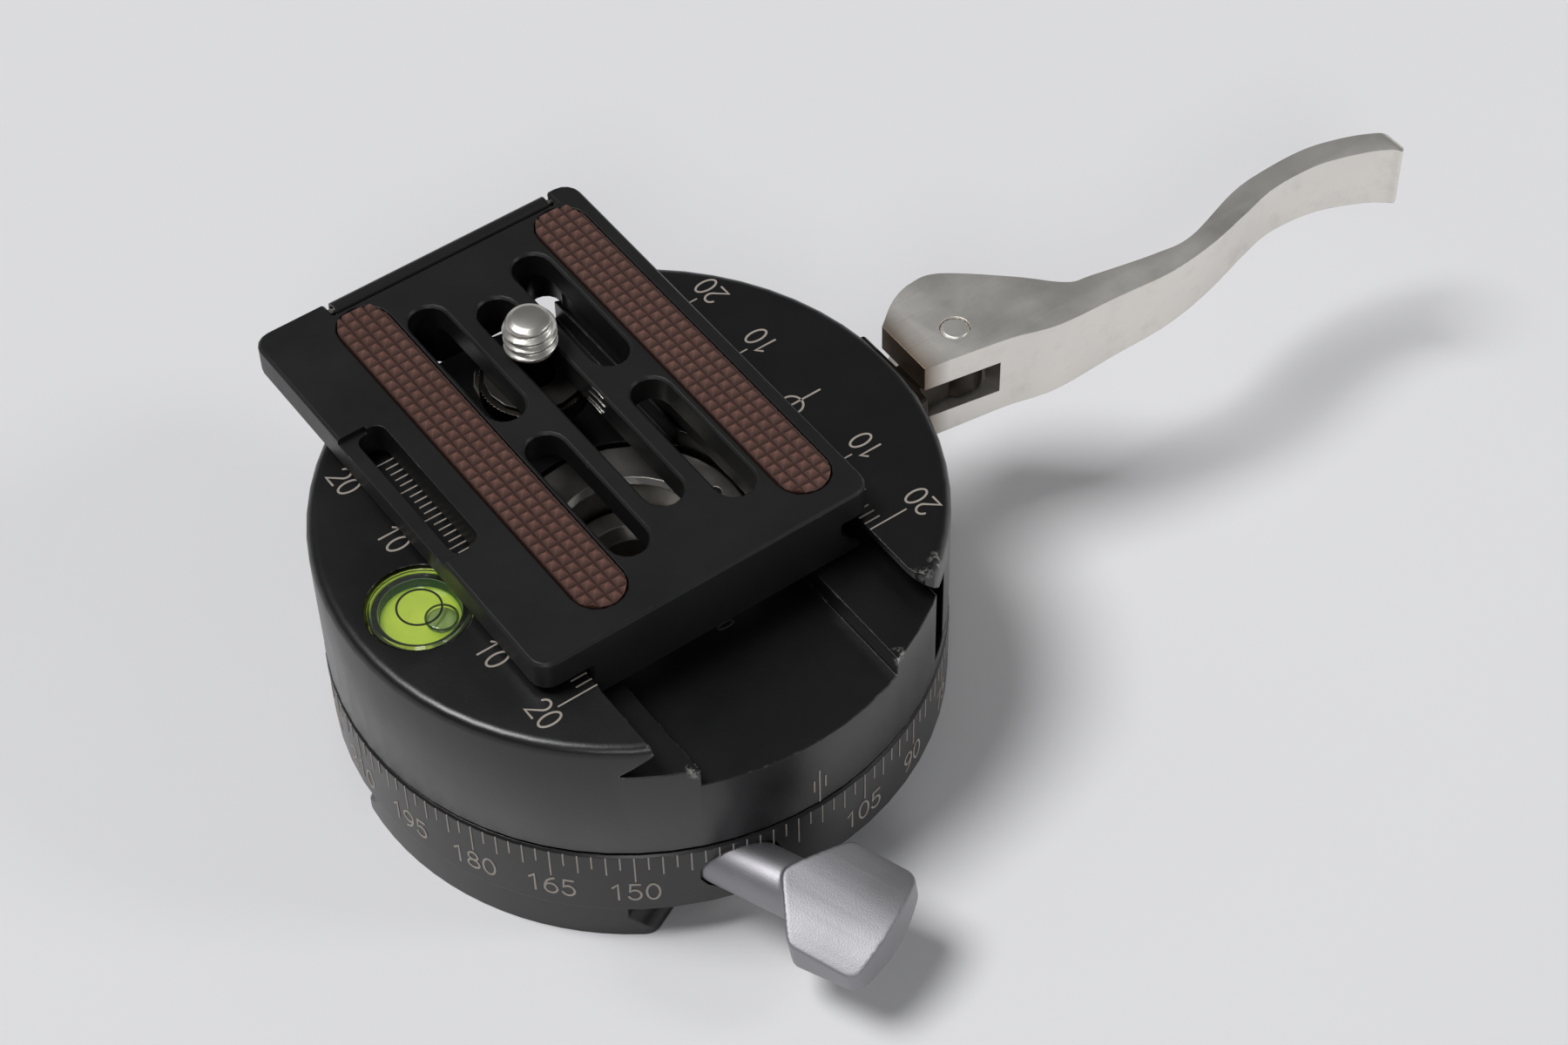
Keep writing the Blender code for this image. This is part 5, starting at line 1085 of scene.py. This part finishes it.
def moulded_pad(name, body):
    """A strip with round ends, its top a field of pyramids cut off at the strip's outline."""
    low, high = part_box(name)
    middle = (low + high) / 2
    half_width = (high.x - low.x) / 2
    straight = (high.y - low.y) / 2 - half_width
    columns = ceil(half_width / PYRAMID) + 1
    rows = ceil((high.y - low.y) / 2 / PYRAMID) + 1
    valley = high.z - PYRAMID_HEIGHT
    build = bmesh.new()
    for i in range(-columns, columns):
        for j in range(-rows, rows):
            x0, y0 = middle.x + i * PYRAMID, middle.y + j * PYRAMID
            x1, y1 = x0 + PYRAMID, y0 + PYRAMID
            corners = [(x0, y0), (x1, y0), (x1, y1), (x0, y1)]
            tip = build.verts.new((x0 + PYRAMID / 2, y0 + PYRAMID / 2, high.z))
            feet = [build.verts.new((x, y, valley)) for x, y in corners]
            for a in range(4):
                build.faces.new((feet[a], feet[(a + 1) % 4], tip))
    bmesh.ops.remove_doubles(build, verts=build.verts, dist=WELD_DISTANCE)
    for way in (-1, 1):
        for i in range(PAD_END_STEPS + 1):
            angle = pi * i / PAD_END_STEPS
            out = Vector((cos(angle), way * sin(angle), 0))
            centre = Vector((middle.x, middle.y + way * straight, 0))
            bmesh.ops.bisect_plane(
                build, geom=build.verts[:] + build.edges[:] + build.faces[:], dist=WELD_DISTANCE,
                plane_co=centre + out * half_width, plane_no=out, clear_outer=True,
            )
    border = [edge for edge in build.edges if edge.is_boundary]
    skirt = bmesh.ops.extrude_edge_only(build, edges=border)["geom"]
    for part in skirt:
        if isinstance(part, bmesh.types.BMVert):
            part.co.z = low.z
    lowest = [edge for edge in build.edges if edge.is_boundary]
    bmesh.ops.holes_fill(build, edges=lowest, sides=0)
    pad = piece_from(build, name + "_moulded", rubber, body, 20)
    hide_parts(name)


moulded_pad("pad_left", "plate")
moulded_pad("pad_right", "plate")

# ---------------- Camera screw ----------------
# A captive stainless screw, turned from rod with a rolled quarter-inch thread and a knurled
# head, a thin washer over it, and a wire ring that folds down for turning it by hand.

SCREW_X, SCREW_Y = 1.2, 20.6
THREAD_LOW, THREAD_HIGH = 39.3, 44.2
THREAD_CREST = 3.1
THREAD_ROOT = 2.5
THREAD_PITCH = 1.27
THREAD_FLAT, THREAD_FLANK = 0.18, 0.66
THREAD_RUN_OUT = 0.35
THREAD_SIDES = 96
THREAD_ROWS = 70
POINT_SHAPE = ((42.9, 3.1), (43.55, 2.62), (43.85, 2.45), (44.12, 1.95), (44.2, 1.75))
NECK_RADIUS = 2.2
HEAD_RADIUS = 6.4
HEAD_LOW, HEAD_HIGH = 32.2, 34.6
KNURL_TEETH = 72
KNURL_DEPTH = 0.12
HEAD_EDGE = 0.16
LUG_HALF = 1.8
LUG_LOW = 29.8
RING_Z = 31.15
RING_BORE = 1.05
# Each crest of the slot's thread: its height, and where it starts and ends along the slot
SLOT_THREADS = ((38.75, 9.7, 11.9), (37.55, 9.5, 12.6), (36.35, 9.8, 12.9), (35.75, 10.4, 13.1))
SLOT_WALL_X = 3.55 * MM
SLOT_STEPS = 6
SLOT_BOW = 0.12
CREST_HALF, CREST_LIFT = 0.055 * MM, 0.09 * MM

# Painted shade: below 39.4 mm, where the screw sits in the plate's hollow, its neck and head are
# coloured near black; only the thread above the plate shows bright steel
screw_steel_painted_shade = metal_finish("screw_steel_painted_shade", (214, 211, 204), (236, 234, 230), 0.34, 0.05, 1.0,
                           reach=0.0001, cover=0.5, bump=0.004, tint=0.06,
                           shade_below=(39.4, (38, 35, 32)))


def point_radius(z):
    """How far the screw's rounded point lets the thread reach out at a height."""
    for (low, wide), (high, narrow) in zip(POINT_SHAPE, POINT_SHAPE[1:]):
        if low <= z <= high:
            return wide + (narrow - wide) * (z - low) / (high - low)
    return THREAD_CREST


shank = bmesh.new()
shank_rows = [[shank.verts.new((x, y, z)) for x, y in circle(NECK_RADIUS, THREAD_SIDES)]
              for z in (HEAD_HIGH - 0.3, THREAD_LOW - 0.02)]
for row in range(THREAD_ROWS + 1):
    z = THREAD_LOW + (THREAD_HIGH - THREAD_LOW) * row / THREAD_ROWS
    ring = []
    for i, (x, y) in enumerate(circle(1, THREAD_SIDES)):
        phase = abs(((z / THREAD_PITCH - i / THREAD_SIDES) % 1) * 2 - 1)
        rise = min(1.0, max(0.0, (phase - THREAD_FLAT) / THREAD_FLANK))
        run_out = min(1.0, (z - THREAD_LOW) / THREAD_RUN_OUT)
        radius = THREAD_ROOT + (THREAD_CREST - THREAD_ROOT) * rise * run_out
        radius = min(radius, point_radius(z))
        ring.append(shank.verts.new((radius * x, radius * y, z)))
    shank_rows.append(ring)
bridge(shank, shank_rows)
shank.faces.new(shank_rows[0][::-1])
shank.faces.new(shank_rows[-1])
low_share = 1 - KNURL_DEPTH / HEAD_RADIUS
knurl = [(x * low_share, y * low_share) if i % 2 else (x, y)
         for i, (x, y) in enumerate(circle(HEAD_RADIUS, 2 * KNURL_TEETH))]
screw = bar("screw_blank", knurl, HEAD_LOW, HEAD_HIGH)
soften(screw, HEAD_EDGE, 2, 50)
settle(screw)
lug_outline = [(x * LUG_HALF, y * LUG_HALF) for x, y in ((-1, -1), (1, -1), (1, 1), (-1, 1))]
carve(screw, bar("lug", lug_outline, LUG_LOW, HEAD_LOW + 0.3), way="UNION")
carve(screw, bar("ring_bore", circle(RING_BORE, 32, (0, RING_Z)), -HEAD_RADIUS, HEAD_RADIUS,
                 stem_lay))
shank.from_mesh(screw.data)
shank.to_mesh(screw.data)
shank.free()
screw = finish_piece(screw, "threaded_screw", Matrix.Translation((SCREW_X, SCREW_Y, 0)),
                     screw_steel_painted_shade, "screw", 40)
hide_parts("camera_screw")
# The wire ring and the washer lie in the plate's hollow; their dark finishes are painted shade
wire_in_painted_shade = metal_finish("wire_in_painted_shade", (90, 86, 80), STEEL, 0.3, 0.05, 1.0, cover=0.3, bump=0.006)
dress(wire_in_painted_shade, "screw_ring")
# The washer's dark finish is painted shade in the plate's hollow
dress(dark_steel, "screw_washer")

# The screw is fed in through a threaded place in the middle slot, whose crests are worn bright
slot_thread = bmesh.new()
for low, near, far in SLOT_THREADS:
    crest = [((near + (far - near) * share) * MM, (low + SLOT_BOW * sin(pi * share)) * MM)
             for share in (step / SLOT_STEPS for step in range(SLOT_STEPS + 1))]
    engrave(slot_thread, crest, CREST_HALF, lambda y, z, out: (SLOT_WALL_X - out, y, z), CREST_LIFT)
piece_from(slot_thread, "slot_thread", steel, "plate")
